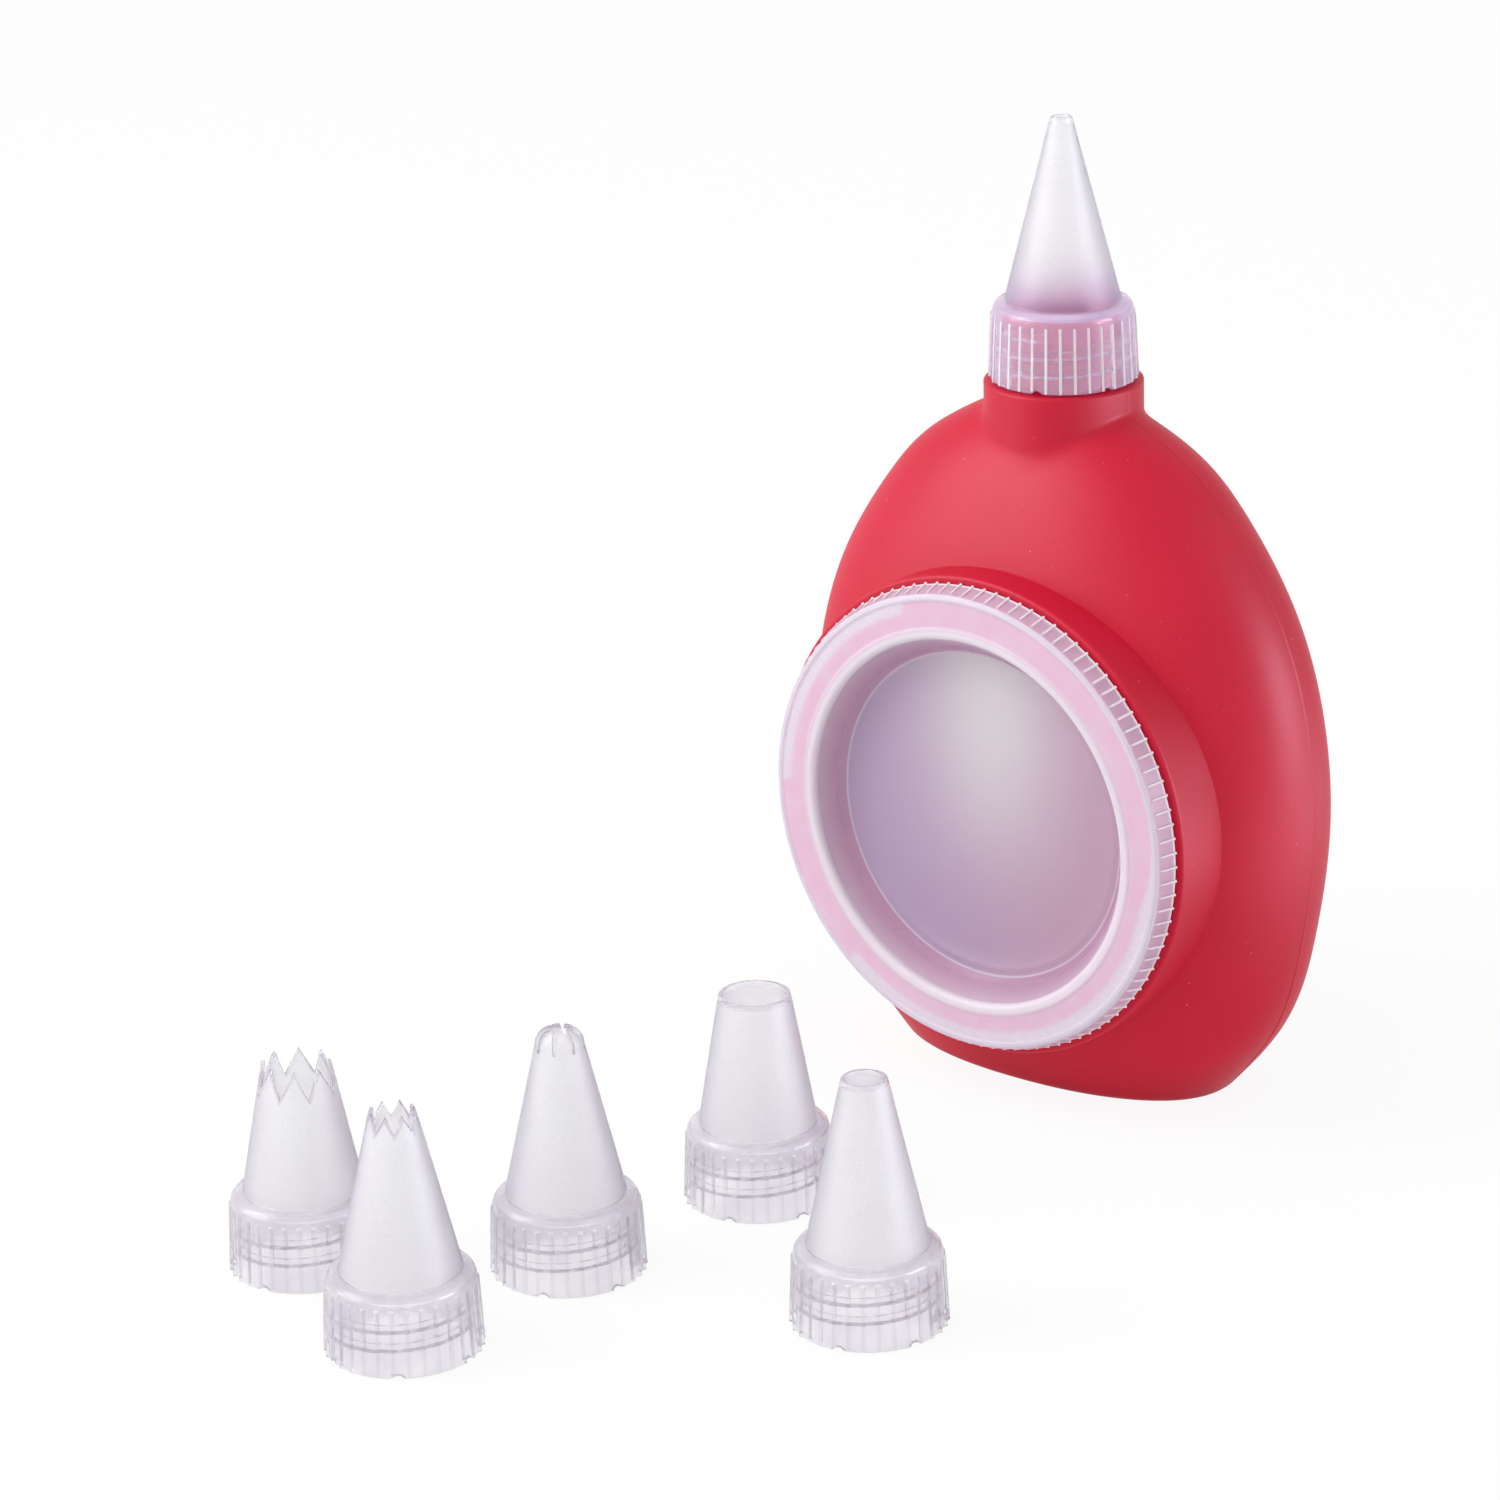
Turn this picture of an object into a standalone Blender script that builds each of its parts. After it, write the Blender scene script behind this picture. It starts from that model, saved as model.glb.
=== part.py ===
"""Decorating bottle for icing: a soft flask with a screw lid on its front and six screw-on nozzles.

Units are metres and +Z is up. The bottle stands on Z = 0 with its neck on the Z axis, and its
filling lid faces -Y. One nozzle sits on the neck and five spare ones stand beside the bottle.
"""

import math

import bmesh
import bpy

# Clearances
FIT_GAP = 0.0003
CUT_OVERRUN = 0.002

# Flask: outer size of the egg-shaped body, and its soft wall
BODY_HEIGHT = 0.1253
BODY_WIDTH = 0.1044
BODY_DEPTH = 0.0492
BODY_WALL = 0.0024
BODY_FLOOR = 0.003
BASE_EDGE_RADIUS = 0.0012
SECTION_POWER = 2.2

# Flask outline from the base to the shoulder, as shares of its height, width and depth
BODY_OUTLINE_SHARES = (
    (0.0, 0.630, 0.679),
    (0.096, 0.820, 0.862),
    (0.240, 0.946, 0.976),
    (0.400, 1.0, 1.0),
    (0.560, 0.977, 0.951),
    (0.718, 0.854, 0.854),
    (0.838, 0.665, 0.720),
    (0.918, 0.462, 0.520),
    (0.966, 0.250, 0.315),
    (1.0, 0.100, 0.150),
)
BODY_RING_SHARES = (0.04, 0.09, 0.16, 0.24, 0.33, 0.42, 0.51, 0.60, 0.68, 0.75, 0.81, 0.85)
FOOT_CLIMB_SHARES = (0.3, 0.6, 0.8, 0.92, 1.0, 1.08, 1.25)
CAVITY_RING_SHARES = (1.0, 0.96, 0.90, 0.82, 0.72, 0.60, 0.46, 0.32, 0.18, 0.06, 0.0)

# Neck that carries a nozzle, measured over its thread
NECK_RADIUS = 0.0102
NECK_HEIGHT = 0.0121
NECK_BORE_RADIUS = 0.0070
NECK_EDGE = 0.0005
SHOULDER_MARGIN = 0.0008
SHOULDER_EDGE = 0.0004
SHOULDER_FILLET = 0.0028
CAVITY_FILLET = 0.006

# Filling mouth on the front: a round collar with a thinner rim that the lid screws over
MOUTH_HEIGHT = 0.0527
MOUTH_BORE_RADIUS = 0.0345
MOUTH_RIM_WALL = 0.0030
MOUTH_RIM_HEIGHT = 0.0027
MOUTH_EDGE = 0.0005
COLLAR_STAND = 0.00175
COLLAR_MARGIN = 0.0009

# Lid: a knurled skirt, a flat ring and a sunk window that plugs the mouth
LID_THREAD_SPACE = 0.0024
LID_WALL = 0.0018
LID_RIB_HEIGHT = 0.00055
LID_RIB_SPREAD_SHARE = 0.16
LID_RIB_COUNT = 104
LID_RING_THICKNESS = 0.0014
LID_DRAFT = 0.0007
LID_EDGE_RADIUS = 0.0007
LID_LIP_RADIUS = 0.0010
WINDOW_DEPTH = 0.0055
WINDOW_THICKNESS = 0.0014
WINDOW_WALL = 0.0014
WINDOW_TAPER = 0.0031
PLUG_BAND = 0.0012

# Nozzle cap, the same on all six nozzles
CAP_HEIGHT = 0.0137
CAP_THREAD_SPACE = 0.0013
CAP_WALL = 0.00115
CAP_DRAFT = 0.00055
CAP_TOP_THICKNESS = 0.0013
CAP_EDGE_RADIUS = 0.0017
CAP_RIB_COUNT = 32
CAP_RIB_HEIGHT = 0.00035
CAP_RIB_SPREAD_SHARE = 0.12
CONE_BASE_RADIUS = 0.0100
CONE_FOOT_FILLET = 0.0002
CONE_WALL = 0.0010
TIP_WALL = 0.0007

# Cones: height above the cap and outer radius at the tip
FINE_ROUND_HEIGHT = 0.0318
FINE_ROUND_RADIUS = 0.0019
MEDIUM_ROUND_HEIGHT = 0.0284
MEDIUM_ROUND_RADIUS = 0.0038
WIDE_ROUND_HEIGHT = 0.0229
WIDE_ROUND_RADIUS = 0.0061
SMALL_STAR_HEIGHT = 0.0274
SMALL_STAR_RADIUS = 0.0038
SMALL_STAR_TOOTH = 0.0029
LARGE_STAR_HEIGHT = 0.0227
LARGE_STAR_RADIUS = 0.0057
LARGE_STAR_TOOTH = 0.0049
CLOSED_STAR_HEIGHT = 0.0290
CLOSED_STAR_RADIUS = 0.0041
DOME_HEIGHT = 0.0030
DOME_OPENING_RADIUS = 0.0011
SLOT_DEPTH = 0.0036
SLOT_WIDTH = 0.0008
STAR_POINTS = 8

# Where each spare nozzle stands, from the neck's axis, and the turn of each star in degrees
MEDIUM_ROUND_X = 0.0389
MEDIUM_ROUND_Y = -0.1088
WIDE_ROUND_X = -0.0062
WIDE_ROUND_Y = -0.0809
CLOSED_STAR_X = -0.0137
CLOSED_STAR_Y = -0.1219
SMALL_STAR_X = -0.0159
SMALL_STAR_Y = -0.1597
LARGE_STAR_X = -0.0502
LARGE_STAR_Y = -0.1459
SMALL_STAR_TURN_DEGREES = 23.5
LARGE_STAR_TURN_DEGREES = -5.7
CLOSED_STAR_TURN_DEGREES = 6.5

# Facets
BODY_SIDES = 44
MOUTH_SIDES = 64
ARC_STEPS = 2
SHARP_DEGREES = 30
FOOT_SEARCH_STEPS = 24

# Sizes that follow from the ones above
NECK_TOP = BODY_HEIGHT + NECK_HEIGHT
CAP_INNER_RADIUS = NECK_RADIUS + CAP_THREAD_SPACE
CAP_RADIUS = CAP_INNER_RADIUS + CAP_WALL
CAP_RIB_RADIUS = CAP_RADIUS + CAP_RIB_HEIGHT
CAP_CEILING = CAP_HEIGHT - CAP_TOP_THICKNESS
SHOULDER_RADIUS = CAP_RIB_RADIUS + SHOULDER_MARGIN
COLLAR_FACE = BODY_DEPTH / 2 + COLLAR_STAND
MOUTH_RIM_RADIUS = MOUTH_BORE_RADIUS + MOUTH_RIM_WALL
LID_INNER_RADIUS = MOUTH_RIM_RADIUS + LID_THREAD_SPACE
LID_RADIUS = LID_INNER_RADIUS + LID_WALL
LID_RIB_RADIUS = LID_RADIUS + LID_RIB_HEIGHT
COLLAR_RADIUS = LID_RIB_RADIUS + COLLAR_MARGIN
LID_CEILING = MOUTH_RIM_HEIGHT + FIT_GAP
LID_FACE = LID_CEILING + LID_RING_THICKNESS

# Colours and surfaces
SILICONE_RED = (0.62, 0.018, 0.045, 1.0)
CLEAR_LILAC = (0.86, 0.83, 0.89, 1.0)


def clear_scene():
    """Removes whatever the file already holds."""
    for old in list(bpy.data.objects):
        bpy.data.objects.remove(old, do_unlink=True)


def plastic(name, colour, roughness, transmission):
    """A Principled material in one colour."""
    material = bpy.data.materials.new(name)
    material.use_nodes = True
    shader = material.node_tree.nodes["Principled BSDF"]
    shader.inputs["Base Color"].default_value = colour
    shader.inputs["Roughness"].default_value = roughness
    shader.inputs["Metallic"].default_value = 0.0
    shader.inputs["Transmission Weight"].default_value = transmission
    return material


def link_mesh(name, bm, material):
    """Turns a bmesh into a named, smooth-shaded object with faces pointing out."""
    bmesh.ops.recalc_face_normals(bm, faces=bm.faces)
    mesh = bpy.data.meshes.new(name)
    bm.to_mesh(mesh)
    bm.free()
    mesh.shade_smooth()
    mesh.set_sharp_from_angle(angle=math.radians(SHARP_DEGREES))
    obj = bpy.data.objects.new(name, mesh)
    bpy.context.scene.collection.objects.link(obj)
    if material:
        mesh.materials.append(material)
    return obj


def add_boolean(obj, operand, operation):
    """Joins or cuts obj with an operand that stays out of the picture."""
    operand.hide_render = True
    operand.display_type = "WIRE"
    modifier = obj.modifiers.new(operand.name, "BOOLEAN")
    modifier.operation = operation
    modifier.object = operand
    modifier.solver = "EXACT"


def skin_rings(bm, first, second):
    """Joins two rings of vertices. One may have three vertices to each of the other's."""
    if len(first) > len(second):
        first, second = second, first
    count = len(first)
    ratio = len(second) // count
    reach = ratio // 2
    for i in range(count):
        here = first[i]
        following = first[(i + 1) % count]
        for step in range(-reach, reach):
            a = second[(i * ratio + step) % len(second)]
            b = second[(i * ratio + step + 1) % len(second)]
            bm.faces.new((here, a, b))
        c = second[(i * ratio + reach) % len(second)]
        d = second[(i * ratio + reach + 1) % len(second)]
        bm.faces.new((here, c, d, following))


def skin_all(bm, rings, close_first=False, close_last=False):
    """Skins a list of rings in turn, joining the last to the first unless the ends are closed."""
    for first, second in zip(rings, rings[1:]):
        skin_rings(bm, first, second)
    if close_first:
        bm.faces.new(rings[0])
    if close_last:
        bm.faces.new(rings[-1])
    if not close_first and not close_last:
        skin_rings(bm, rings[-1], rings[0])


def round_ring(bm, radius, height, sides):
    """A circle of vertices about the Z axis."""
    ring = []
    for i in range(sides):
        angle = math.tau * i / sides
        ring.append(bm.verts.new((radius * math.cos(angle), radius * math.sin(angle), height)))
    return ring


def ribbed_ring(bm, radius, rib_height, height, ribs, spread_share):
    """A circle with a small pointed rib at each of its steps: a peak and a foot on either side."""
    ring = []
    for i in range(ribs):
        for offset, rise in ((0.0, rib_height), (spread_share, 0.0), (1.0 - spread_share, 0.0)):
            angle = math.tau * (i + offset) / ribs
            out = radius + rise
            ring.append(bm.verts.new((out * math.cos(angle), out * math.sin(angle), height)))
    return ring


def quarter_arc(radius_centre, height_centre, radius, start_degrees, end_degrees):
    """Profile points (radius, height) on an arc, ends included."""
    points = []
    for step in range(ARC_STEPS + 1):
        degrees = start_degrees + (end_degrees - start_degrees) * step / ARC_STEPS
        angle = math.radians(degrees)
        points.append((radius_centre + radius * math.cos(angle), height_centre + radius * math.sin(angle)))
    return points


def blend(first, second, share):
    """The value that lies at a share of the way from the first to the second."""
    return first + (second - first) * share


def smooth_maximum(a, b, reach):
    """The larger of two sizes, rounded where they are nearly alike, as a fillet does."""
    overlap = max(reach - abs(a - b), 0.0) / reach
    return max(a, b) + overlap * overlap * reach / 4


def outline_share(share, column):
    """Width (column 1) or depth (column 2) share at a height share, on a smooth curve."""
    rows = BODY_OUTLINE_SHARES
    last = len(rows) - 1
    k = max(i for i in range(last) if rows[i][0] <= share or i == 0)
    left, right = rows[k], rows[k + 1]
    before, after = rows[max(k - 1, 0)], rows[min(k + 2, last)]
    span = right[0] - left[0]
    t = (share - left[0]) / span
    slope_left = (right[column] - before[column]) / (right[0] - before[0]) * span
    slope_right = (after[column] - left[column]) / (after[0] - left[0]) * span
    rise = 3 * t ** 2 - 2 * t ** 3
    bend_left = t ** 3 - 2 * t ** 2 + t
    bend_right = t ** 3 - t ** 2
    return blend(left[column], right[column], rise) + bend_left * slope_left + bend_right * slope_right


def half_sizes(share, inset):
    """Half width and half depth of the flask at a height share, less an inset, and never negative."""
    half_width = outline_share(share, 1) * BODY_WIDTH / 2 - inset
    half_depth = outline_share(share, 2) * BODY_DEPTH / 2 - inset
    return max(half_width, NECK_EDGE), max(half_depth, NECK_EDGE)


def section_radius(angle, share, inset, core_radius, fillet):
    """Distance from the axis to a section's edge: a squarish oval, never less than the round core."""
    half_width, half_depth = half_sizes(share, inset)
    across = abs(math.cos(angle)) / half_width
    deep = abs(math.sin(angle)) / half_depth
    oval = (across ** SECTION_POWER + deep ** SECTION_POWER) ** (-1 / SECTION_POWER)
    return smooth_maximum(oval, core_radius, fillet)


def section_flatness(share, inset, core_radius, fillet):
    """How deep a section is for its width, which spaces its vertices evenly."""
    half_width, half_depth = half_sizes(share, inset)
    return (smooth_maximum(half_depth, core_radius, fillet)
            / smooth_maximum(half_width, core_radius, fillet))


def flask_ring(bm, share, height, inset, core_radius, fillet):
    """One level section of the flask or of its cavity."""
    flatness = section_flatness(share, inset, core_radius, fillet)
    ring = []
    for i in range(BODY_SIDES):
        step = math.tau * i / BODY_SIDES
        angle = math.atan2(flatness * math.sin(step), math.cos(step))
        radius = section_radius(angle, share, inset, core_radius, fillet)
        ring.append(bm.verts.new((radius * math.cos(angle), radius * math.sin(angle), height)))
    return ring


def foot_share(angle, low):
    """The height share at which the flask has narrowed to the shoulder in one direction."""
    high = 1.0
    for _ in range(FOOT_SEARCH_STEPS):
        middle = (low + high) / 2
        if section_radius(angle, middle, 0, 0, SHOULDER_EDGE) > SHOULDER_RADIUS:
            low = middle
        else:
            high = middle
    return low


def foot_ring(bm, start, climb):
    """A ring on the way from the last level section (climb 0) by the shoulder's foot (1) to its top (2)."""
    level_flatness = section_flatness(start, 0, SHOULDER_RADIUS, SHOULDER_FILLET)
    flatness = blend(level_flatness, 1.0, min(climb, 1.0))
    ring = []
    for i in range(BODY_SIDES):
        step = math.tau * i / BODY_SIDES
        angle = math.atan2(flatness * math.sin(step), math.cos(step))
        foot = foot_share(angle, start)
        share = blend(start, foot, climb) if climb < 1 else blend(foot, 1.0, climb - 1)
        radius = section_radius(angle, share, 0, SHOULDER_RADIUS, SHOULDER_FILLET)
        place = (radius * math.cos(angle), radius * math.sin(angle), share * BODY_HEIGHT)
        ring.append(bm.verts.new(place))
    return ring


def flask_rings(bm):
    """The flask's outside from its base up over the neck, then its cavity down to the floor."""
    rings = []
    for x, height in reversed(quarter_arc(0, BASE_EDGE_RADIUS, BASE_EDGE_RADIUS, 0, -90)):
        inset = BASE_EDGE_RADIUS - x
        rings.append(flask_ring(bm, height / BODY_HEIGHT, height, inset, SHOULDER_RADIUS, SHOULDER_FILLET))
    for share in BODY_RING_SHARES:
        height = share * BODY_HEIGHT
        rings.append(flask_ring(bm, share, height, 0, SHOULDER_RADIUS, SHOULDER_FILLET))
    for climb in FOOT_CLIMB_SHARES:
        rings.append(foot_ring(bm, BODY_RING_SHARES[-1], climb))
    for radius, height in (
        (SHOULDER_RADIUS, BODY_HEIGHT - SHOULDER_EDGE),
        (SHOULDER_RADIUS - SHOULDER_EDGE, BODY_HEIGHT),
        (NECK_RADIUS, BODY_HEIGHT),
        (NECK_RADIUS, NECK_TOP - NECK_EDGE),
        (NECK_RADIUS - NECK_EDGE, NECK_TOP),
        (NECK_BORE_RADIUS, NECK_TOP),
    ):
        rings.append(round_ring(bm, radius, height, BODY_SIDES))
    cavity_top = BODY_HEIGHT - BODY_WALL
    for share in CAVITY_RING_SHARES:
        height = blend(BODY_FLOOR, cavity_top, share)
        rings.append(flask_ring(bm, share, height, BODY_WALL, NECK_BORE_RADIUS, CAVITY_FILLET))
    return rings


def front_surface(x, z):
    """How far the flask's front face stands out from the middle plane at a point."""
    share = min(max(z / BODY_HEIGHT, 0.0), 1.0)
    half_width, half_depth = half_sizes(share, 0)
    inside = max(1.0 - (abs(x) / half_width) ** SECTION_POWER, 0.0)
    return half_depth * inside ** (1 / SECTION_POWER)


def collar_profile(angle):
    """The collar's section in one direction from its middle: radius, and distance out from the flask."""
    def stand(radius):
        return front_surface(radius * math.cos(angle), MOUTH_HEIGHT + radius * math.sin(angle))

    rim_top = COLLAR_FACE + MOUTH_RIM_HEIGHT
    core_radius = MOUTH_BORE_RADIUS - CUT_OVERRUN
    return (
        (core_radius, stand(core_radius) - BODY_WALL / 2),
        (core_radius, rim_top),
        (MOUTH_RIM_RADIUS - MOUTH_EDGE, rim_top),
        (MOUTH_RIM_RADIUS, rim_top - MOUTH_EDGE),
        (MOUTH_RIM_RADIUS, COLLAR_FACE),
        (COLLAR_RADIUS - MOUTH_EDGE, COLLAR_FACE),
        (COLLAR_RADIUS, COLLAR_FACE - MOUTH_EDGE),
        (COLLAR_RADIUS, stand(COLLAR_RADIUS) - BODY_WALL / 2),
    )


def mouth_collar():
    """The round collar and screw rim on the flask's front. Its back lies inside the flask's wall."""
    bm = bmesh.new()
    angles = [math.tau * i / MOUTH_SIDES for i in range(MOUTH_SIDES)]
    rings = []
    for points in zip(*[collar_profile(angle) for angle in angles]):
        ring = []
        for angle, (radius, out) in zip(angles, points):
            place = (radius * math.cos(angle), -out, MOUTH_HEIGHT + radius * math.sin(angle))
            ring.append(bm.verts.new(place))
        rings.append(ring)
    skin_all(bm, rings)
    return link_mesh("mouth_collar_form", bm, None)


def mouth_bore():
    """The cutter for the filling mouth, from in front of the rim to the flask's middle plane."""
    bm = bmesh.new()
    depth = COLLAR_FACE + MOUTH_RIM_HEIGHT + CUT_OVERRUN
    low = round_ring(bm, MOUTH_BORE_RADIUS, 0, MOUTH_SIDES)
    high = round_ring(bm, MOUTH_BORE_RADIUS, depth, MOUTH_SIDES)
    skin_all(bm, [low, high], close_first=True, close_last=True)
    cutter = link_mesh("mouth_bore_form", bm, None)
    cutter.location = (0, 0, MOUTH_HEIGHT)
    cutter.rotation_euler = (math.radians(90), 0, 0)
    return cutter


def make_bottle_body(material):
    """The one-piece soft flask: lofted shell, neck, and the collar and mouth on its front."""
    bm = bmesh.new()
    skin_all(bm, flask_rings(bm), close_first=True, close_last=True)
    body = link_mesh("bottle_body", bm, material)
    add_boolean(body, mouth_collar(), "UNION")
    add_boolean(body, mouth_bore(), "DIFFERENCE")
    return body


def make_filling_lid(material):
    """The screw lid, turned about its own +Z, which then points to -Y. Height 0 is the collar's face."""
    bm = bmesh.new()
    rear = ribbed_ring(bm, LID_RADIUS, LID_RIB_HEIGHT, FIT_GAP, LID_RIB_COUNT, LID_RIB_SPREAD_SHARE)
    front = ribbed_ring(bm, LID_RADIUS - LID_DRAFT, LID_RIB_HEIGHT, LID_FACE - 2 * LID_EDGE_RADIUS,
                        LID_RIB_COUNT, LID_RIB_SPREAD_SHARE)
    face_radius = LID_RADIUS - LID_DRAFT
    plug_radius = MOUTH_BORE_RADIUS - FIT_GAP
    window_mouth = plug_radius - WINDOW_WALL
    window_radius = window_mouth - WINDOW_TAPER
    window_face = LID_FACE - WINDOW_DEPTH
    window_back = window_face - WINDOW_THICKNESS
    profile = quarter_arc(face_radius - LID_EDGE_RADIUS, LID_FACE - LID_EDGE_RADIUS, LID_EDGE_RADIUS, 0, 90)
    profile += quarter_arc(window_mouth + LID_LIP_RADIUS, LID_FACE - LID_LIP_RADIUS, LID_LIP_RADIUS, 90, 180)
    profile.append((window_radius, window_face))
    rings = [rear, front]
    rings += [round_ring(bm, radius, height, LID_RIB_COUNT) for radius, height in profile]
    skin_all(bm, rings, close_last=True)
    back_profile = (
        (LID_INNER_RADIUS, FIT_GAP),
        (LID_INNER_RADIUS, LID_CEILING),
        (plug_radius, LID_CEILING),
        (plug_radius, LID_CEILING - PLUG_BAND),
        (window_radius + WINDOW_WALL, window_back),
    )
    back = [round_ring(bm, radius, height, LID_RIB_COUNT) for radius, height in back_profile]
    skin_rings(bm, rear, back[0])
    skin_all(bm, back, close_last=True)
    lid = link_mesh("filling_lid", bm, material)
    lid.location = (0, -COLLAR_FACE, MOUTH_HEIGHT)
    lid.rotation_euler = (math.radians(90), 0, 0)
    return lid


def cap_profile():
    """The nozzle cap's outside above its ribs, from its rounded shoulder to the foot of the cone."""
    top_radius = CAP_RADIUS - CAP_DRAFT
    profile = quarter_arc(top_radius - CAP_EDGE_RADIUS, CAP_HEIGHT - CAP_EDGE_RADIUS, CAP_EDGE_RADIUS, 0, 90)
    profile.append((CONE_BASE_RADIUS + CONE_FOOT_FILLET, CAP_HEIGHT))
    profile.append((CONE_BASE_RADIUS, CAP_HEIGHT + CONE_FOOT_FILLET))
    return profile


def tooth_drop(i, tooth_depth):
    """How far ring vertex i lies below the tooth points: 0 at a point and the full depth in a notch."""
    per_tooth = CAP_RIB_COUNT // STAR_POINTS
    half = per_tooth / 2
    return tooth_depth * (half - abs(i % per_tooth - half)) / half


def toothed_ring(bm, top, tip_radius, slope, tooth_depth):
    """The end of a cone cut to star teeth: each vertex stays on the cone as it drops."""
    ring = []
    for i in range(CAP_RIB_COUNT):
        angle = math.tau * i / CAP_RIB_COUNT
        drop = tooth_drop(i, tooth_depth)
        radius = tip_radius + slope * drop
        ring.append(bm.verts.new((radius * math.cos(angle), radius * math.sin(angle), top - drop)))
    return ring


def dome_profile(radius, spring_height, opening_radius, rise):
    """Profile points of a round cap over the cone, from its foot to the opening in its middle."""
    points = []
    steps = 2 * ARC_STEPS
    reach = math.acos(opening_radius / radius)
    for step in range(1, steps + 1):
        angle = reach * step / steps
        points.append((radius * math.cos(angle), spring_height + rise * math.sin(angle) / math.sin(reach)))
    return points


def make_nozzle(name, material, cone_height, tip_radius, tooth_depth=0.0, domed=False):
    """A ribbed screw cap and a hollow cone in one piece, standing on its own Z = 0."""
    bm = bmesh.new()
    top = CAP_HEIGHT + cone_height
    inner_base = CONE_BASE_RADIUS - CONE_WALL
    rib_top = CAP_HEIGHT - CAP_EDGE_RADIUS - CAP_RIB_HEIGHT
    rear = ribbed_ring(bm, CAP_RADIUS, CAP_RIB_HEIGHT, 0, CAP_RIB_COUNT, CAP_RIB_SPREAD_SHARE)
    front = ribbed_ring(bm, CAP_RADIUS - CAP_DRAFT, CAP_RIB_HEIGHT, rib_top, CAP_RIB_COUNT,
                        CAP_RIB_SPREAD_SHARE)
    rings = [rear, front]
    rings += [round_ring(bm, radius, height, CAP_RIB_COUNT) for radius, height in cap_profile()]
    if domed:
        foot = top - DOME_HEIGHT
        outside = [(tip_radius, foot)]
        outside += dome_profile(tip_radius, foot, DOME_OPENING_RADIUS, DOME_HEIGHT)
        inside = [(tip_radius - TIP_WALL, foot)]
        inside += dome_profile(tip_radius - TIP_WALL, foot, DOME_OPENING_RADIUS, DOME_HEIGHT - TIP_WALL)
        points = outside + inside[::-1]
        rings += [round_ring(bm, radius, height, CAP_RIB_COUNT) for radius, height in points]
    else:
        slope = (CONE_BASE_RADIUS - tip_radius) / cone_height
        inner_tip = tip_radius - TIP_WALL
        inner_slope = (inner_base - inner_tip) / (top - CAP_CEILING)
        rings.append(toothed_ring(bm, top, tip_radius, slope, tooth_depth))
        rings.append(toothed_ring(bm, top, inner_tip, inner_slope, tooth_depth))
    for radius, height in (
        (inner_base, CAP_CEILING),
        (CAP_INNER_RADIUS - CAP_DRAFT, CAP_CEILING),
        (CAP_INNER_RADIUS, 0),
    ):
        rings.append(round_ring(bm, radius, height, CAP_RIB_COUNT))
    skin_all(bm, rings)
    return link_mesh(name, bm, material)


def cut_dome_slots(nozzle, tip_radius):
    """Cuts the closed star's slots: each blade crosses the axis and makes two of them."""
    top = CAP_HEIGHT + CLOSED_STAR_HEIGHT
    reach = tip_radius + CUT_OVERRUN
    bottom = top - SLOT_DEPTH
    for i in range(STAR_POINTS // 2):
        bm = bmesh.new()
        bmesh.ops.create_cube(bm, size=1)
        for vert in bm.verts:
            vert.co.x *= 2 * reach
            vert.co.y *= SLOT_WIDTH
            vert.co.z = top + CUT_OVERRUN if vert.co.z > 0 else bottom
        blade = link_mesh(f"dome_slot_form_{i}", bm, None)
        blade.rotation_euler.z = math.pi * i / (STAR_POINTS // 2)
        blade.parent = nozzle
        add_boolean(nozzle, blade, "DIFFERENCE")


def make_nozzles(material_for):
    """The fitted nozzle on the neck, and the five spare ones on the surface."""
    fine = make_nozzle("nozzle_fine_round", material_for("nozzle_fine_round"),
                       FINE_ROUND_HEIGHT, FINE_ROUND_RADIUS)
    fine.location = (0, 0, BODY_HEIGHT + FIT_GAP)
    medium = make_nozzle("nozzle_medium_round", material_for("nozzle_medium_round"),
                         MEDIUM_ROUND_HEIGHT, MEDIUM_ROUND_RADIUS)
    medium.location = (MEDIUM_ROUND_X, MEDIUM_ROUND_Y, 0)
    wide = make_nozzle("nozzle_wide_round", material_for("nozzle_wide_round"),
                       WIDE_ROUND_HEIGHT, WIDE_ROUND_RADIUS)
    wide.location = (WIDE_ROUND_X, WIDE_ROUND_Y, 0)
    small = make_nozzle("nozzle_small_star", material_for("nozzle_small_star"),
                        SMALL_STAR_HEIGHT, SMALL_STAR_RADIUS, tooth_depth=SMALL_STAR_TOOTH)
    small.location = (SMALL_STAR_X, SMALL_STAR_Y, 0)
    small.rotation_euler.z = math.radians(SMALL_STAR_TURN_DEGREES)
    large = make_nozzle("nozzle_large_star", material_for("nozzle_large_star"),
                        LARGE_STAR_HEIGHT, LARGE_STAR_RADIUS, tooth_depth=LARGE_STAR_TOOTH)
    large.location = (LARGE_STAR_X, LARGE_STAR_Y, 0)
    large.rotation_euler.z = math.radians(LARGE_STAR_TURN_DEGREES)
    closed = make_nozzle("nozzle_closed_star", material_for("nozzle_closed_star"),
                         CLOSED_STAR_HEIGHT, CLOSED_STAR_RADIUS, domed=True)
    closed.location = (CLOSED_STAR_X, CLOSED_STAR_Y, 0)
    closed.rotation_euler.z = math.radians(CLOSED_STAR_TURN_DEGREES)
    cut_dome_slots(closed, CLOSED_STAR_RADIUS)


def clear_plastic(name):
    """The frosted plastic of the lid and the nozzles."""
    return plastic(name + "_plastic", CLEAR_LILAC, roughness=0.35, transmission=0.6)


def main():
    clear_scene()
    make_bottle_body(plastic("bottle_silicone", SILICONE_RED, roughness=0.55, transmission=0.0))
    make_filling_lid(clear_plastic("filling_lid"))
    make_nozzles(clear_plastic)


main()
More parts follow.
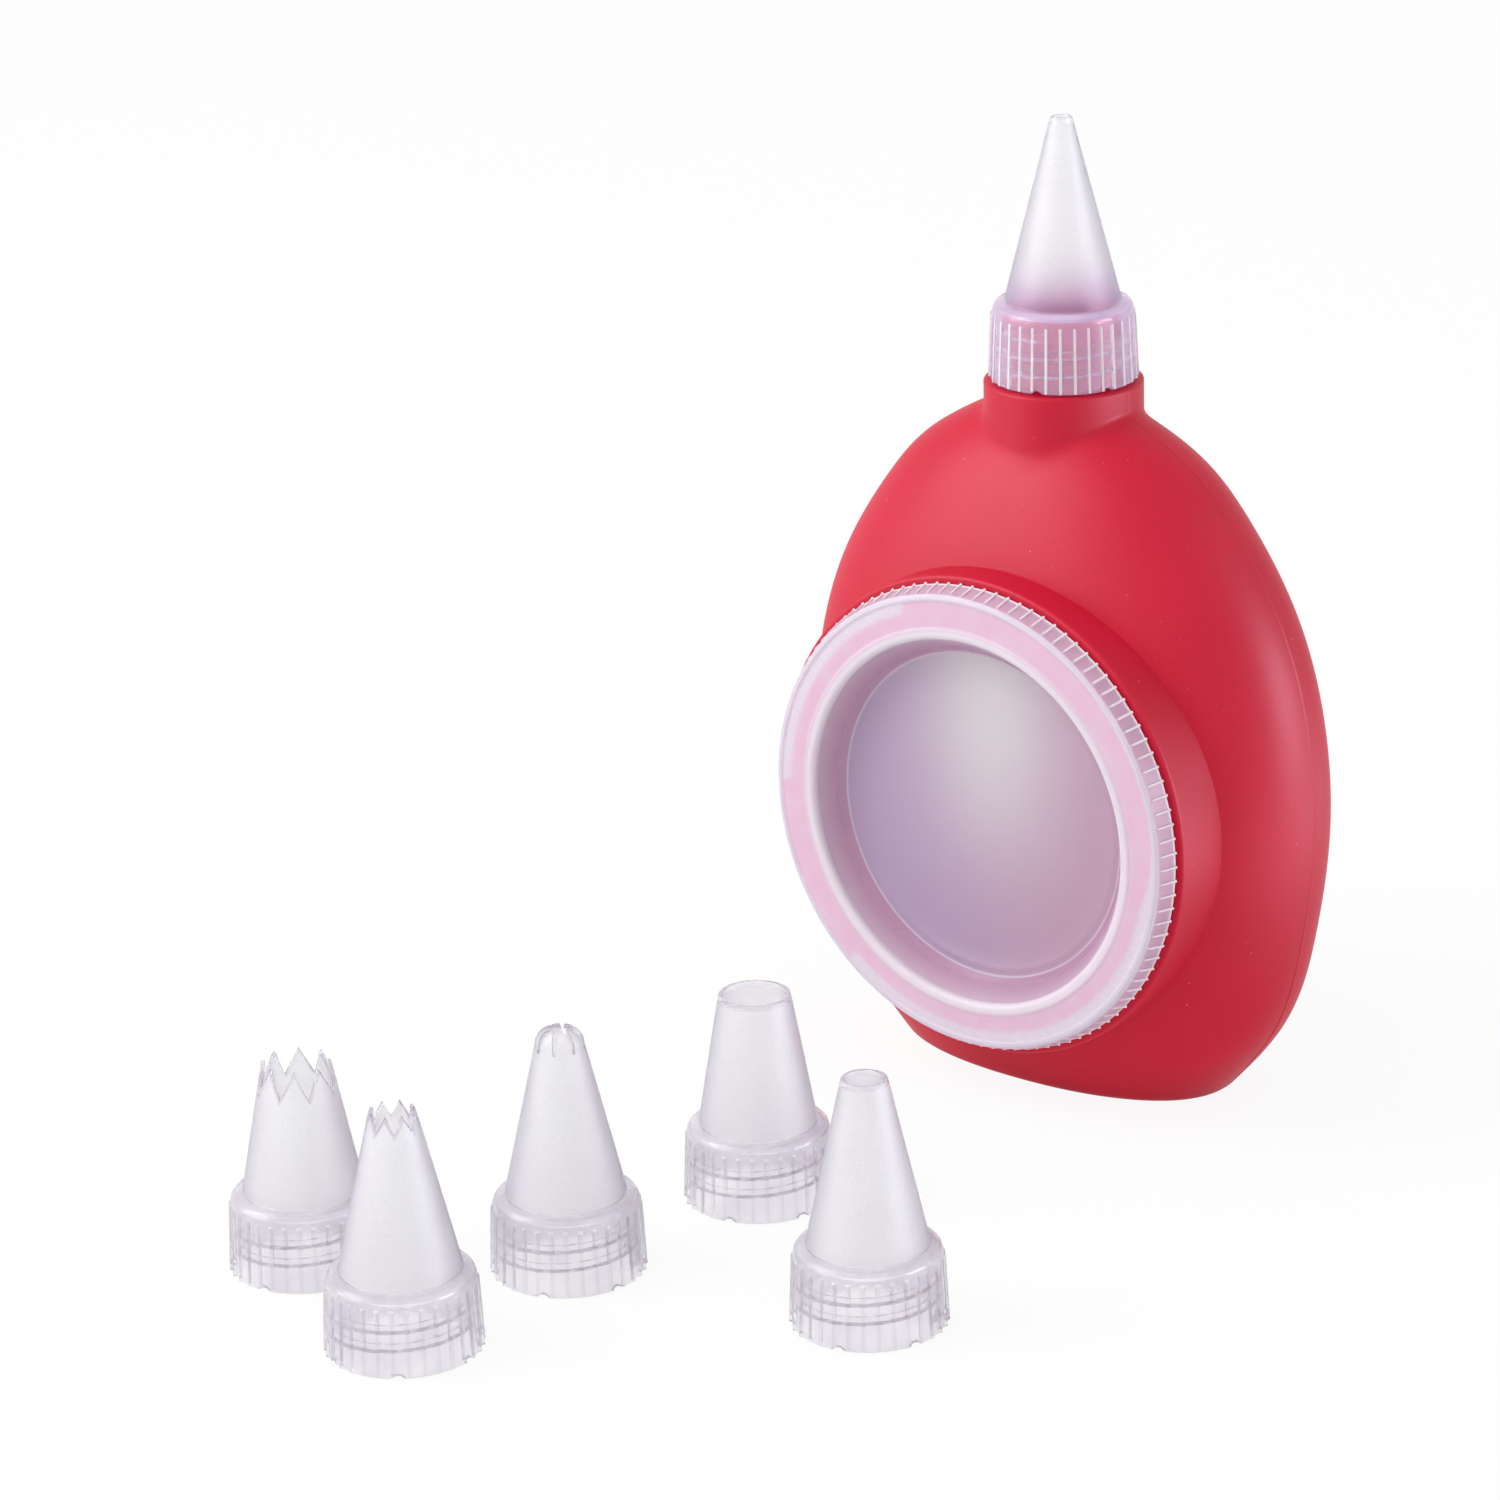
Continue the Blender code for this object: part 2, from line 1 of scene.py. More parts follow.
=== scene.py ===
# %% [markdown]
# # A decorating bottle for icing
# The object is a soft red flask that stands on its base, with a screw lid over the filling mouth
# on its front and a screw-on nozzle on its neck. Five spare nozzles stand beside it. The packed
# solids come first, as a fixed frame. Every piece below takes the place of one of them, at the
# same size, with the rounded ribs, screw threads, teeth and edges that a moulded product has.

# %% Load the solids
import math
from collections import namedtuple

import bmesh
import bpy
import numpy as np
from mathutils import Matrix, Vector


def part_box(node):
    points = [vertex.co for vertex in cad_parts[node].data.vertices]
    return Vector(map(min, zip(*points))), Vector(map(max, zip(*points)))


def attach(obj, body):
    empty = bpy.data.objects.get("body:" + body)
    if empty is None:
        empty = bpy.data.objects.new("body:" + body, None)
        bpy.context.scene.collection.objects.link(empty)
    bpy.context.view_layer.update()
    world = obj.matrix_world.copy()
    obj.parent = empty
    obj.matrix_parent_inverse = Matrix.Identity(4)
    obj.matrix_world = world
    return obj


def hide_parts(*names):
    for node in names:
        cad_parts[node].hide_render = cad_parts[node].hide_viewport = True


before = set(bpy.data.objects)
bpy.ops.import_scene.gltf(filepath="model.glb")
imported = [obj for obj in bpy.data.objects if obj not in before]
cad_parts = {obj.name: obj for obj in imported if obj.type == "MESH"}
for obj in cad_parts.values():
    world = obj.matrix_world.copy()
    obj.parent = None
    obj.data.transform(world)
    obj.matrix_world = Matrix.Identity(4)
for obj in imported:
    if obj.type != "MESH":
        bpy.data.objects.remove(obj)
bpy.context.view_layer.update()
MM = 0.001
print("solids:", ", ".join(sorted(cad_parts)))

# %% [markdown]
# ## Values that flow through nodes
# Ribs, threads and teeth follow formulas, and so do the specks in a material. A formula in a node
# tree is a chain of Math nodes, which is slow to read when each one is wired by hand. This small
# class wires them from plain arithmetic, so a line of code reads like the formula that it builds.

# %% Arithmetic that builds Math nodes
class Value:
    """A number, colour or normal in a node tree. Arithmetic with numbers adds Math nodes to it."""

    def __init__(self, tree, socket):
        self.tree = tree
        self.socket = socket

    def into(self, slot):
        """Links the value to a node's input."""
        self.tree.links.new(self.socket, slot)

    def math(self, operation, *values):
        node = self.tree.nodes.new("ShaderNodeMath")
        node.operation = operation
        for slot, value in zip(node.inputs, values):
            if isinstance(value, Value):
                value.into(slot)
            else:
                slot.default_value = value
        return Value(self.tree, node.outputs[0])

    def __rsub__(self, other):
        return self.math("SUBTRACT", other, self)

    def from_whole(self):
        """How far it is from the nearest whole number."""
        return abs(self - self.rounded())

    def share(self):
        """Held between 0 and 1."""
        return self.most(0.0).least(1.0)

    def eased(self):
        """Held between 0 and 1, with a soft start and a soft end."""
        held = self.share()
        return held * held * (3.0 - held * 2.0)

    def bell(self):
        """1 at zero, and falling softly to nothing on both sides."""
        return self.math("EXPONENT", self * self * -1.0)


def operation_on(operation):
    """A method that puts the value, and another one where it takes two, through a Math node."""
    return lambda value, *others: value.math(operation, value, *others)


OPERATIONS = {
    "__add__": "ADD", "__sub__": "SUBTRACT", "__mul__": "MULTIPLY", "__truediv__": "DIVIDE",
    "__lt__": "LESS_THAN", "__gt__": "GREATER_THAN", "__abs__": "ABSOLUTE", "root": "SQRT",
    "rounded": "ROUND", "past_whole": "FRACT", "most": "MAXIMUM", "least": "MINIMUM"}
for method, operation in OPERATIONS.items():
    setattr(Value, method, operation_on(operation))
print("operations in arithmetic:", len(OPERATIONS))

# %% [markdown]
# ## Trees that shape a turned piece
# Every ribbed, threaded or toothed part of this object is a turned shape first: a cap, a cone, a
# neck, a lid. Its ribs could be separate bars laid on the wall, but in clear plastic the buried
# faces would show. So each Geometry Nodes tree moves the points of one skin instead. A wall is
# found by a mark on its points, and the tree's sizes are named inputs, so that one tree serves
# the small caps and the large lid alike. Where the plastic is thick, light scatters in it and it
# looks milky. The trees keep that as a mark too, and give faces past a limit a finish of their
# own.

# %% Start and end of a shaping tree
Place = namedtuple("Place", "x y z radius turn wall")
THICK_FROM = 0.45


def add_sockets(tree, way, kinds):
    """Gives a tree its named inputs or outputs."""
    for label, kind in kinds.items():
        tree.interface.new_socket(label, in_out=way, socket_type="NodeSocket" + kind)


def mark_of(tree, name):
    """The mark with that name on each point. The name is a text or a socket."""
    node = tree.nodes.new("GeometryNodeInputNamedAttribute")
    if isinstance(name, str):
        node.inputs["Name"].default_value = name
    else:
        tree.links.new(name, node.inputs["Name"])
    return Value(tree, node.outputs["Attribute"])


def parts_of(tree, socket):
    """The three numbers of a vector."""
    parts = tree.nodes.new("ShaderNodeSeparateXYZ")
    tree.links.new(socket, parts.inputs[0])
    return [Value(tree, part) for part in parts.outputs]


def new_tree(name, sizes):
    """A tree with geometry, finishes, a wall's name and sizes going in.

    Gives it, its input node, each point's place, with 1 for the wall, and the sizes."""
    tree = bpy.data.node_groups.new(name, "GeometryNodeTree")
    add_sockets(tree, "INPUT", {"Geometry": "Geometry", "Material": "Material",
                                "Thick Material": "Material", "Wall": "String"})
    add_sockets(tree, "INPUT", dict.fromkeys(sizes, "Float"))
    add_sockets(tree, "OUTPUT", {"Geometry": "Geometry"})
    start = tree.nodes.new("NodeGroupInput")
    x, y, z = parts_of(tree, tree.nodes.new("GeometryNodeInputPosition").outputs[0])
    place = Place(x, y, z, (x * x + y * y).root(), x.math("ARCTAN2", y, x) / math.tau,
                  mark_of(tree, start.outputs["Wall"]))
    return tree, start, place, [Value(tree, start.outputs[label]) for label in sizes]


def end_tree(tree, start, place, out=None, up=None, thick=None):
    """Keeps how thick the plastic is, moves each point out and up, and sets both finishes."""
    offset = tree.nodes.new("ShaderNodeCombineXYZ")
    if out is not None:
        (place.x / place.radius * out).into(offset.inputs["X"])
        (place.y / place.radius * out).into(offset.inputs["Y"])
    if up is not None:
        up.into(offset.inputs["Z"])
    steps = [tree.nodes.new(kind) for kind in (
        "GeometryNodeStoreNamedAttribute", "GeometryNodeSetPosition",
        "GeometryNodeRealizeInstances", "GeometryNodeSetMaterial", "GeometryNodeSetMaterial",
        "NodeGroupOutput")]
    for before, after in zip([start] + steps, steps):
        tree.links.new(before.outputs["Geometry"], after.inputs["Geometry"])
    keep, move, _, thin_finish, thick_finish, _ = steps
    mark = mark_of(tree, "thick")
    keep.inputs["Name"].default_value = "thick"
    (mark if thick is None else mark.most(thick)).into(keep.inputs["Value"])
    tree.links.new(offset.outputs[0], move.inputs["Offset"])
    (mark > THICK_FROM).into(thick_finish.inputs["Selection"])
    for node, label in ((thin_finish, "Material"), (thick_finish, "Thick Material")):
        tree.links.new(start.outputs[label], node.inputs["Material"])
    print(f"tree {tree.name}: {len(tree.nodes)} nodes")
    return tree


# %% [markdown]
# ### Ribs
# A rib is half round across, and its upper end runs out in a small dome. The phase of a point
# tells how far it lies from the middle of the nearest rib, as a share of the way to the next one.
# A rib is thick plastic, most of all along its middle.

# %% The tree for ribs
RIB_CORE = 1.1


def make_rib_tree():
    tree, start, place, sizes = new_tree("raise_ribs", (
        "Ribs", "Rib Height", "Half Width Share", "Top", "Run Out", "Bead Height", "Bead Top",
        "Haze"))
    ribs, height, half_width, top, run_out, bead, bead_top, haze = sizes
    across = ((place.turn * ribs).from_whole() / half_width).share()
    end = 1.0 - ((top - place.z) / run_out).share()
    round_across, round_end = ((1.0 - side * side).root() for side in (across, end))
    bead_share = ((bead_top - place.z) / bead_top).eased()
    rib = round_across * round_end * place.wall
    thick = ((1.0 - across) * RIB_CORE).share() * round_end * place.wall * haze
    return end_tree(tree, start, place, (height + bead * bead_share) * rib, thick=thick)


RIB_TREE = make_rib_tree()

# %% [markdown]
# ### Screw threads
# A right-hand thread climbs by one pitch in each turn. Counting in pitches, the height of a point
# less its turn tells how far it lies from the nearest winding, and which winding that is. The
# ridge is cut off softly at both ends. A negative height makes an inside thread.

# %% The tree for threads
FLANK_RUN = 0.22
FLANK_GAIN = 8.0
FLANK_SHARE = 0.4
FADES_IN_A_TURN = 14.0


def make_thread_tree():
    tree, start, place, sizes = new_tree("wind_thread", (
        "Pitch", "Ridge Height", "Ridge Width", "Lowest", "Turns", "Start Turn"))
    pitch, height, width, lowest, last, first = sizes
    past_start = (place.turn - first).past_whole()
    windings = (place.z - lowest) / pitch - past_start
    away = windings.from_whole() * pitch
    ridge = ((width / 2.0 - away) / (width * FLANK_RUN)).eased()
    along = windings.rounded() + past_start
    fade = (along * FADES_IN_A_TURN).eased() * ((last - along) * FADES_IN_A_TURN).eased()
    wound = fade * place.wall
    flank = (ridge * (1.0 - ridge) * wound * FLANK_GAIN).share()
    return end_tree(tree, start, place, height * ridge * wound, thick=flank * FLANK_SHARE)


THREAD_TREE = make_thread_tree()

# %% [markdown]
# ### Lugs
# The mouth's lid has a quick thread: a few long lugs instead of windings. A lug is a stretch of
# wall that stands out between two turns and two heights. It fades in over a given part of a turn,
# which can be a long ramp for the lid to slide up, and ends in a step.

# %% The tree for lugs
LUG_EDGE = 0.25 * MM
LUG_STEEPNESS = 250.0


def make_lug_tree():
    tree, start, place, sizes = new_tree("raise_lug", (
        "Lug Height", "From", "To", "Fade", "Low", "High"))
    height, first, last, fade, low, high = sizes
    past = (place.turn - first).past_whole()
    along = (past / fade).eased() * ((last - first - past) * LUG_STEEPNESS).eased()
    across = ((place.z - low) / LUG_EDGE).eased() * ((high - place.z) / LUG_EDGE).eased()
    lug = along * across * place.wall
    return end_tree(tree, start, place, height * lug, thick=lug)


LUG_TREE = make_lug_tree()

# %% [markdown]
# ### Star teeth and foot notches
# A star nozzle is a plain cone whose end is cut to teeth. Instead of cutting, each line of the
# cone is drawn back towards its foot, and more so the nearer it lies to a gap between two teeth.
# So the teeth stay on the cone and the mesh stays whole. The foot of a cap has a few shallow
# notches, made in the same way.

# %% The trees for teeth and notches
NOTCH_STEEPNESS = 60.0


def make_tooth_tree():
    tree, start, place, (points, depth) = new_tree("cut_teeth", ("Points", "Tooth Depth"))
    drop = depth * (place.turn * points).from_whole() * 2.0 * place.wall
    return end_tree(tree, start, place, drop * mark_of(tree, "slope") * -1.0, drop * -1.0)


def make_notch_tree():
    tree, start, place, sizes = new_tree("notch_foot", (
        "Notches", "Half Width Share", "Notch Depth", "Reach", "First"))
    notches, half_width, depth, reach, first = sizes
    phase = ((place.turn - first) * notches).from_whole()
    inside = ((half_width - phase) * NOTCH_STEEPNESS).share()
    return end_tree(tree, start, place, up=depth * inside * (1.0 - place.z / reach).share())


TOOTH_TREE = make_tooth_tree()
NOTCH_TREE = make_notch_tree()

# %% [markdown]
# ## Skins, and how a tree is applied
# A skin is a closed mesh over rings of points. The marks tell the trees which rings form a wall.
# Once its trees are set, the piece is turned into a plain mesh with nothing left to evaluate.

# %% Build and settle a skin
SHARP_DEGREES = 42


def mark_points(mesh, label, values):
    """Gives each point of a mesh its own mark."""
    layer = mesh.attributes.new(label, "FLOAT", "POINT")
    layer.data.foreach_set("value", np.asarray(values, np.float32))


def skin(name, rings, marks, loop):
    """A mesh over rings of points. In a loop the last joins the first, otherwise both get caps."""
    rings = np.asarray(rings, float)
    count, sides = rings.shape[:2]
    index = np.arange(count * sides).reshape(count, sides)
    low, high = (index, np.roll(index, -1, axis=0)) if loop else (index[:-1], index[1:])
    quads = np.stack([low, np.roll(low, -1, 1), np.roll(high, -1, 1), high], axis=2)
    faces = quads.reshape(-1, 4).tolist()
    if not loop:
        faces += [index[0].tolist(), index[-1].tolist()]
    mesh = bpy.data.meshes.new(name)
    mesh.from_pydata(rings.reshape(-1, 3).tolist(), [], faces)
    for label, values in marks.items():
        mark_points(mesh, label, np.repeat(values, sides))
    piece = bpy.data.objects.new(name, mesh)
    bpy.context.scene.collection.objects.link(piece)
    return piece


def shape(piece, tree, materials, wall, sizes):
    """Adds a tree to the piece and sets its inputs by their identifiers."""
    modifier = piece.modifiers.new(tree.name, "NODES")
    modifier.node_group = tree
    values = {"Material": materials[0], "Thick Material": materials[-1], "Wall": wall, **sizes}
    for item in tree.interface.items_tree:
        if item.in_out == "INPUT" and item.name in values:
            modifier[item.identifier] = values[item.name]


def settle(piece, place=None):
    """Makes the piece a plain, smooth-shaded mesh with faces out, and moves it into place."""
    graph = bpy.context.evaluated_depsgraph_get()
    mesh = bpy.data.meshes.new_from_object(piece.evaluated_get(graph))
    piece.modifiers.clear()
    piece.data = mesh
    bm = bmesh.new()
    bm.from_mesh(mesh)
    bmesh.ops.recalc_face_normals(bm, faces=bm.faces)
    bm.to_mesh(mesh)
    bm.free()
    if place is not None:
        mesh.transform(place)
    mesh.shade_smooth()
    mesh.set_sharp_from_angle(angle=math.radians(SHARP_DEGREES))
    print(f"{piece.name}: {len(mesh.vertices)} points, {len(mesh.polygons)} faces")
    return piece


print("faces stay sharp past", SHARP_DEGREES, "degrees")

# %% [markdown]
# ### Profiles
# A turned piece is drawn as half of its section: radius and height pairs that run along its
# outside and back along its inside. Each stretch has a mark, and stretches are as fine as their
# detail needs.

# %% Draw a profile and turn it
def straight(start, end, steps):
    """Points from start to end, both included."""
    return [tuple(p) for p in np.linspace(start, end, steps + 1)]


def arc(centre, radius, first, last, steps):
    """Points on an arc about a centre, from one angle in degrees to another, both included."""
    angles = np.radians(np.linspace(first, last, steps + 1))
    return [(centre[0] + radius * math.cos(a), centre[1] + radius * math.sin(a)) for a in angles]


def join(stretches):
    """Joins marked stretches. Gives all points, and under each mark a 0 or 1 for each of them."""
    points = [(mark, p) for mark, stretch in stretches for p in stretch]
    marks = {mark: [float(m == mark) for m, _ in points] for mark, _ in points if mark}
    return [p for _, p in points], marks


def turned(points, angles):
    """Rings of points: the profile goes round the Z axis and stops at each angle."""
    radius, height = np.array(points).T
    return np.stack([np.outer(radius, np.cos(angles)), np.outer(radius, np.sin(angles)),
                     np.outer(height, np.ones(len(angles)))], axis=2)


def rib_angles(ribs, shares):
    """Angles with several stops inside each rib, so that it is round, and few between the ribs."""
    stops = (np.arange(ribs)[:, None] + np.array(shares)[None, :]) / ribs
    return stops.ravel() * math.tau


print("profiles can be drawn and turned")

# %% [markdown]
# ## Finishes
# Two plastics and a rubber cover the whole object. What they share are effects: a fine grain that
# breaks up reflections, a slow cloudiness, and dust, which soft silicone always attracts. Each
# effect is a node group that puts out a value, a mask or a normal, and each material sets it its
# own way.

# %% Groups for grain, clouds and dust
CLOUD_BASE = 0.3
CLOUD_CONTRAST = 2.5
LEAST_SPECK = 0.4
SPECK_CORE = 2.0


def new_group(name, values, outputs):
    """A shader node group with numbers going in. Gives the group, its input and its output node."""
    group = bpy.data.node_groups.new(name, "ShaderNodeTree")
    for label, value in values.items():
        socket = group.interface.new_socket(label, in_out="INPUT", socket_type="NodeSocketFloat")
        socket.default_value = value
    add_sockets(group, "OUTPUT", outputs)
    return group, group.nodes.new("NodeGroupInput"), group.nodes.new("NodeGroupOutput")


def scaled_noise(group, start, detail):
    """Noise on the object's own coordinates, at the scale that goes into the group."""
    where = group.nodes.new("ShaderNodeTexCoord")
    noise = group.nodes.new("ShaderNodeTexNoise")
    noise.inputs["Detail"].default_value = detail
    group.links.new(where.outputs["Object"], noise.inputs["Vector"])
    group.links.new(start.outputs["Scale"], noise.inputs["Scale"])
    return Value(group, noise.outputs["Fac"])


def make_grain_group():
    """Grain of a given scale: a value round 0.5, and a normal that it roughens."""
    group, start, end = new_group(
        "fine_grain", {"Scale": 3000.0, "Strength": 0.1, "Depth": 0.02 * MM},
        {"Value": "Float", "Normal": "Vector"})
    grain = scaled_noise(group, start, 2.0)
    bump = group.nodes.new("ShaderNodeBump")
    grain.into(bump.inputs["Height"])
    grain.into(end.inputs["Value"])
    group.links.new(start.outputs["Strength"], bump.inputs["Strength"])
    group.links.new(start.outputs["Depth"], bump.inputs["Distance"])
    group.links.new(bump.outputs[0], end.inputs["Normal"])
    return group


def make_cloud_group():
    """A slow change from 0 to 1 over the surface."""
    group, start, end = new_group("soft_clouds", {"Scale": 40.0}, {"Value": "Float"})
    clouds = (scaled_noise(group, start, 3.0) - CLOUD_BASE) * CLOUD_CONTRAST
    clouds.share().into(end.inputs["Value"])
    return group


def make_dust_group():
    """Small specks, at most one to a cell. Only the given share of the cells has one."""
    group, start, end = new_group("dust_specks", {"Cells": 400.0, "Size": 0.1, "Share": 0.3},
                                  {"Mask": "Float"})
    where = group.nodes.new("ShaderNodeTexCoord")
    cells = group.nodes.new("ShaderNodeTexVoronoi")
    parts = group.nodes.new("ShaderNodeSeparateColor")
    group.links.new(where.outputs["Object"], cells.inputs["Vector"])
    group.links.new(start.outputs["Cells"], cells.inputs["Scale"])
    group.links.new(cells.outputs["Color"], parts.inputs[0])
    size, share = (Value(group, start.outputs[label]) for label in ("Size", "Share"))
    chance, spread = (Value(group, parts.outputs[label]) for label in ("Red", "Green"))
    distance = Value(group, cells.outputs["Distance"])
    speck = (1.0 - distance / (size * (spread + LEAST_SPECK))).share()
    (speck * (chance < share) * SPECK_CORE).share().into(end.inputs["Mask"])
    return group


GRAIN = make_grain_group()
CLOUDS = make_cloud_group()
DUST = make_dust_group()
print("effect groups:", GRAIN.name, CLOUDS.name, DUST.name)

# %% Start a material, place a group in it and mix colours
def start_material(name):
    """A new material. Gives it, its tree and its shader."""
    material = bpy.data.materials.new(name)
    material.use_nodes = True
    tree = material.node_tree
    return material, tree, tree.nodes["Principled BSDF"]


def set_inputs(node, values):
    """Sets a node's own inputs by their names."""
    for label, value in values.items():
        node.inputs[label].default_value = value


def use_group(tree, group, **values):
    """Places a group in a tree with its own values. Gives what it puts out, by name."""
    node = tree.nodes.new("ShaderNodeGroup")
    node.node_tree = group
    set_inputs(node, values)
    return {socket.name: Value(tree, socket) for socket in node.outputs}


def mixed(tree, first, second, factor):
    """A colour between two others. Each is four numbers or a value."""
    node = tree.nodes.new("ShaderNodeMix")
    node.data_type = "RGBA"
    factor.into(node.inputs["Factor"])
    for label, colour in (("A", first), ("B", second)):
        slot = next(s for s in node.inputs if s.name == label and s.type == "RGBA")
        if isinstance(colour, Value):
            colour.into(slot)
        else:
            slot.default_value = colour
    return Value(tree, next(s for s in node.outputs if s.type == "RGBA"))


def attribute(tree, name):
    """A mark on the points, as a material reads it."""
    node = tree.nodes.new("ShaderNodeAttribute")
    node.attribute_name = name
    return Value(tree, node.outputs["Fac"])


print("groups can be placed and colours mixed")

# %% [markdown]
# ### Silicone
# The flask is matt red silicone, soft to the touch. With gloss it would look like hard plastic,
# so it is rough and reflects little, which makes its highlights broad. Slow clouds and a fine
# grain keep the red from being even, and fine pale dust sticks to it in two sizes, as specks and
# fluff.

# %% The silicone
SILICONE_RED = (0.61, 0.010, 0.040, 1.0)
SILICONE_DEEP = (0.53, 0.007, 0.030, 1.0)
DUST_PINK = (0.80, 0.30, 0.36, 1.0)
CLOUD_TONE, GRAIN_TONE, LEAST_TONE = 0.6, 1.4, 0.2
FLUFF_SHARE = 0.35
DUST_SHARE = 0.75
SILICONE_ROUGHNESS = 0.42
GRAIN_ROUGHNESS = 0.10


def make_silicone():
    material, tree, shader = start_material("red_silicone")
    clouds = use_group(tree, CLOUDS, Scale=35.0)["Value"]
    specks = use_group(tree, DUST, Cells=330.0, Size=0.055, Share=0.32)["Mask"]
    fluff = use_group(tree, DUST, Cells=900.0, Size=0.10, Share=0.12)["Mask"]
    grain = use_group(tree, GRAIN, Scale=2600.0, Strength=0.25, Depth=0.03 * MM)
    mottled = clouds * CLOUD_TONE + (grain["Value"] - 0.5) * GRAIN_TONE + LEAST_TONE
    tone = mixed(tree, SILICONE_DEEP, SILICONE_RED, mottled.share())
    dust = specks + fluff * FLUFF_SHARE
    mixed(tree, tone, DUST_PINK, (dust * DUST_SHARE).share()).into(shader.inputs["Base Color"])
    (grain["Value"] * GRAIN_ROUGHNESS + SILICONE_ROUGHNESS).into(shader.inputs["Roughness"])
    grain["Normal"].into(shader.inputs["Normal"])
    set_inputs(shader, {"Metallic": 0.0, "IOR": 1.45, "Specular IOR Level": 0.22})
    return material


SILICONE = [make_silicone()]
print("material:", SILICONE[0].name)

# %% [markdown]
# ### Clear and frosted plastic
# Lid and nozzles are moulded in natural polypropylene. Where the mould was polished, on the caps,
# the window and the rim of an open tip, it is glossy and clear. Where it was blasted, on the
# cones and the lid's ring, it is frosted, with a grain that sparkles. Plain glass would show only
# reflections, so the shader lets part of the light through and the rest shows the plastic's own
# colour. The mark "frost" on the points runs from 0 for glossy to 1 for frosted and sets the
# roughness. In clear plastic the mark "thick" makes ribs and thread flanks stand out in a second
# colour.

# %% The plastic that lid and nozzles share
FROSTED_ROUGHNESS = 0.42
CLOUD_ROUGHNESS = 0.05
CLOUD_MILK = 0.4
SPARKLE = 2.0


def make_plastic(name, wall, pale, see_through, gloss, ior=1.30, frost=FROSTED_ROUGHNESS,
                 haze=None):
    """Plastic between two colours. Without an even haze, the mark "thick" tells where it is pale.

    Gives the material, its tree, its colour, which isn't linked yet, and its shader."""
    material, tree, shader = start_material(name)
    frosted = attribute(tree, "frost")
    clouds = use_group(tree, CLOUDS, Scale=120.0)["Value"]
    grain = use_group(tree, GRAIN, Scale=2400.0, Strength=0.55, Depth=0.05 * MM)
    speckle = (grain["Value"] - 0.5) * SPARKLE * frosted
    milky = clouds * CLOUD_MILK + speckle + (attribute(tree, "thick") if haze is None else haze)
    tone = mixed(tree, wall, pale, milky.share())
    rough = frosted * (frost - gloss) + gloss + clouds * CLOUD_ROUGHNESS
    rough.share().into(shader.inputs["Roughness"])
    grain["Normal"].into(shader.inputs["Normal"])
    set_inputs(shader, {"Metallic": 0.0, "IOR": ior, "Transmission Weight": see_through})
    return material, tree, tone, shader


print("frosted plastic has a roughness of", FROSTED_ROUGHNESS)

# %% [markdown]
# ### The nozzles' plastic
# A nozzle has two finishes: clear for its cap and frosted for its cone. A see-through wall looks
# darker where it turns away, because the line of sight runs through more of it, and Layer Weight
# tells where that is. The fitted nozzle has red silicone inside it, which gives its cap a lilac
# cast and its cone's foot a purple one. Here both are colours of the plastic, at marks on its
# points. That is simple and steady, but the casts stay when the nozzle is taken off. The fitted
# cap's ribs have a third finish, nearly white, because against the red they are what shows most.

# %% Finishes for the fitted nozzle and the spares
PALE = (0.995, 0.985, 1.0, 1.0)
FITTED_CLEAR = (0.955, 0.94, 0.965, 1.0)
SPARE_CLEAR = (0.965, 0.945, 0.975, 1.0)
LINE_LILAC = (0.66, 0.61, 0.70, 1.0)
TURNED_AWAY = (0.70, 0.66, 0.76, 1.0)
CONE_GREY = (0.90, 0.885, 0.905, 1.0)
CONE_WHITE = (1.0, 1.0, 1.0, 1.0)
CAP_LILAC = (0.95, 0.78, 1.0, 1.0)
FOOT_PURPLE = (0.72, 0.50, 0.78, 1.0)
CAST_LOSS = 2.0


def make_nozzle_plastic(name, wall, pale, edge, fitted=False, **look):
    """Plastic that is darker where a wall turns away. When fitted, it has casts from the red."""
    material, tree, tone, shader = make_plastic(name, wall, pale, **look)
    away = Value(tree, tree.nodes.new("ShaderNodeLayerWeight").outputs["Facing"])
    if fitted:
        thin = 1.0 - attribute(tree, "thick") * CAST_LOSS
        tone = mixed(tree, tone, CAP_LILAC, (attribute(tree, "cast") * thin).share())
        tone = mixed(tree, tone, FOOT_PURPLE, attribute(tree, "foot"))
    mixed(tree, tone, TURNED_AWAY, (away * away * edge).share()).into(shader.inputs["Base Color"])
    return material


FITTED_PLASTIC = [
    make_nozzle_plastic("clear_fitted", FITTED_CLEAR, PALE, edge=0.5, fitted=True,
                        see_through=0.77, gloss=0.15, ior=1.34),
    make_nozzle_plastic("frosted_fitted", CONE_GREY, CONE_WHITE, edge=1.6, fitted=True,
                        see_through=0.76, gloss=0.30, haze=0.6)]
FITTED_RIB = make_nozzle_plastic("rib_fitted", PALE, PALE, edge=0.2,
                                 see_through=0.40, gloss=0.18, haze=0.3)
SPARE_PLASTIC = [
    make_nozzle_plastic("clear_nozzle", SPARE_CLEAR, LINE_LILAC, edge=0.6,
                        see_through=0.80, gloss=0.15),
    make_nozzle_plastic("frosted_nozzle", CONE_GREY, CONE_WHITE, edge=1.5,
                        see_through=0.72, gloss=0.30, haze=0.6)]
print("materials:", [m.name for m in FITTED_PLASTIC + [FITTED_RIB] + SPARE_PLASTIC])
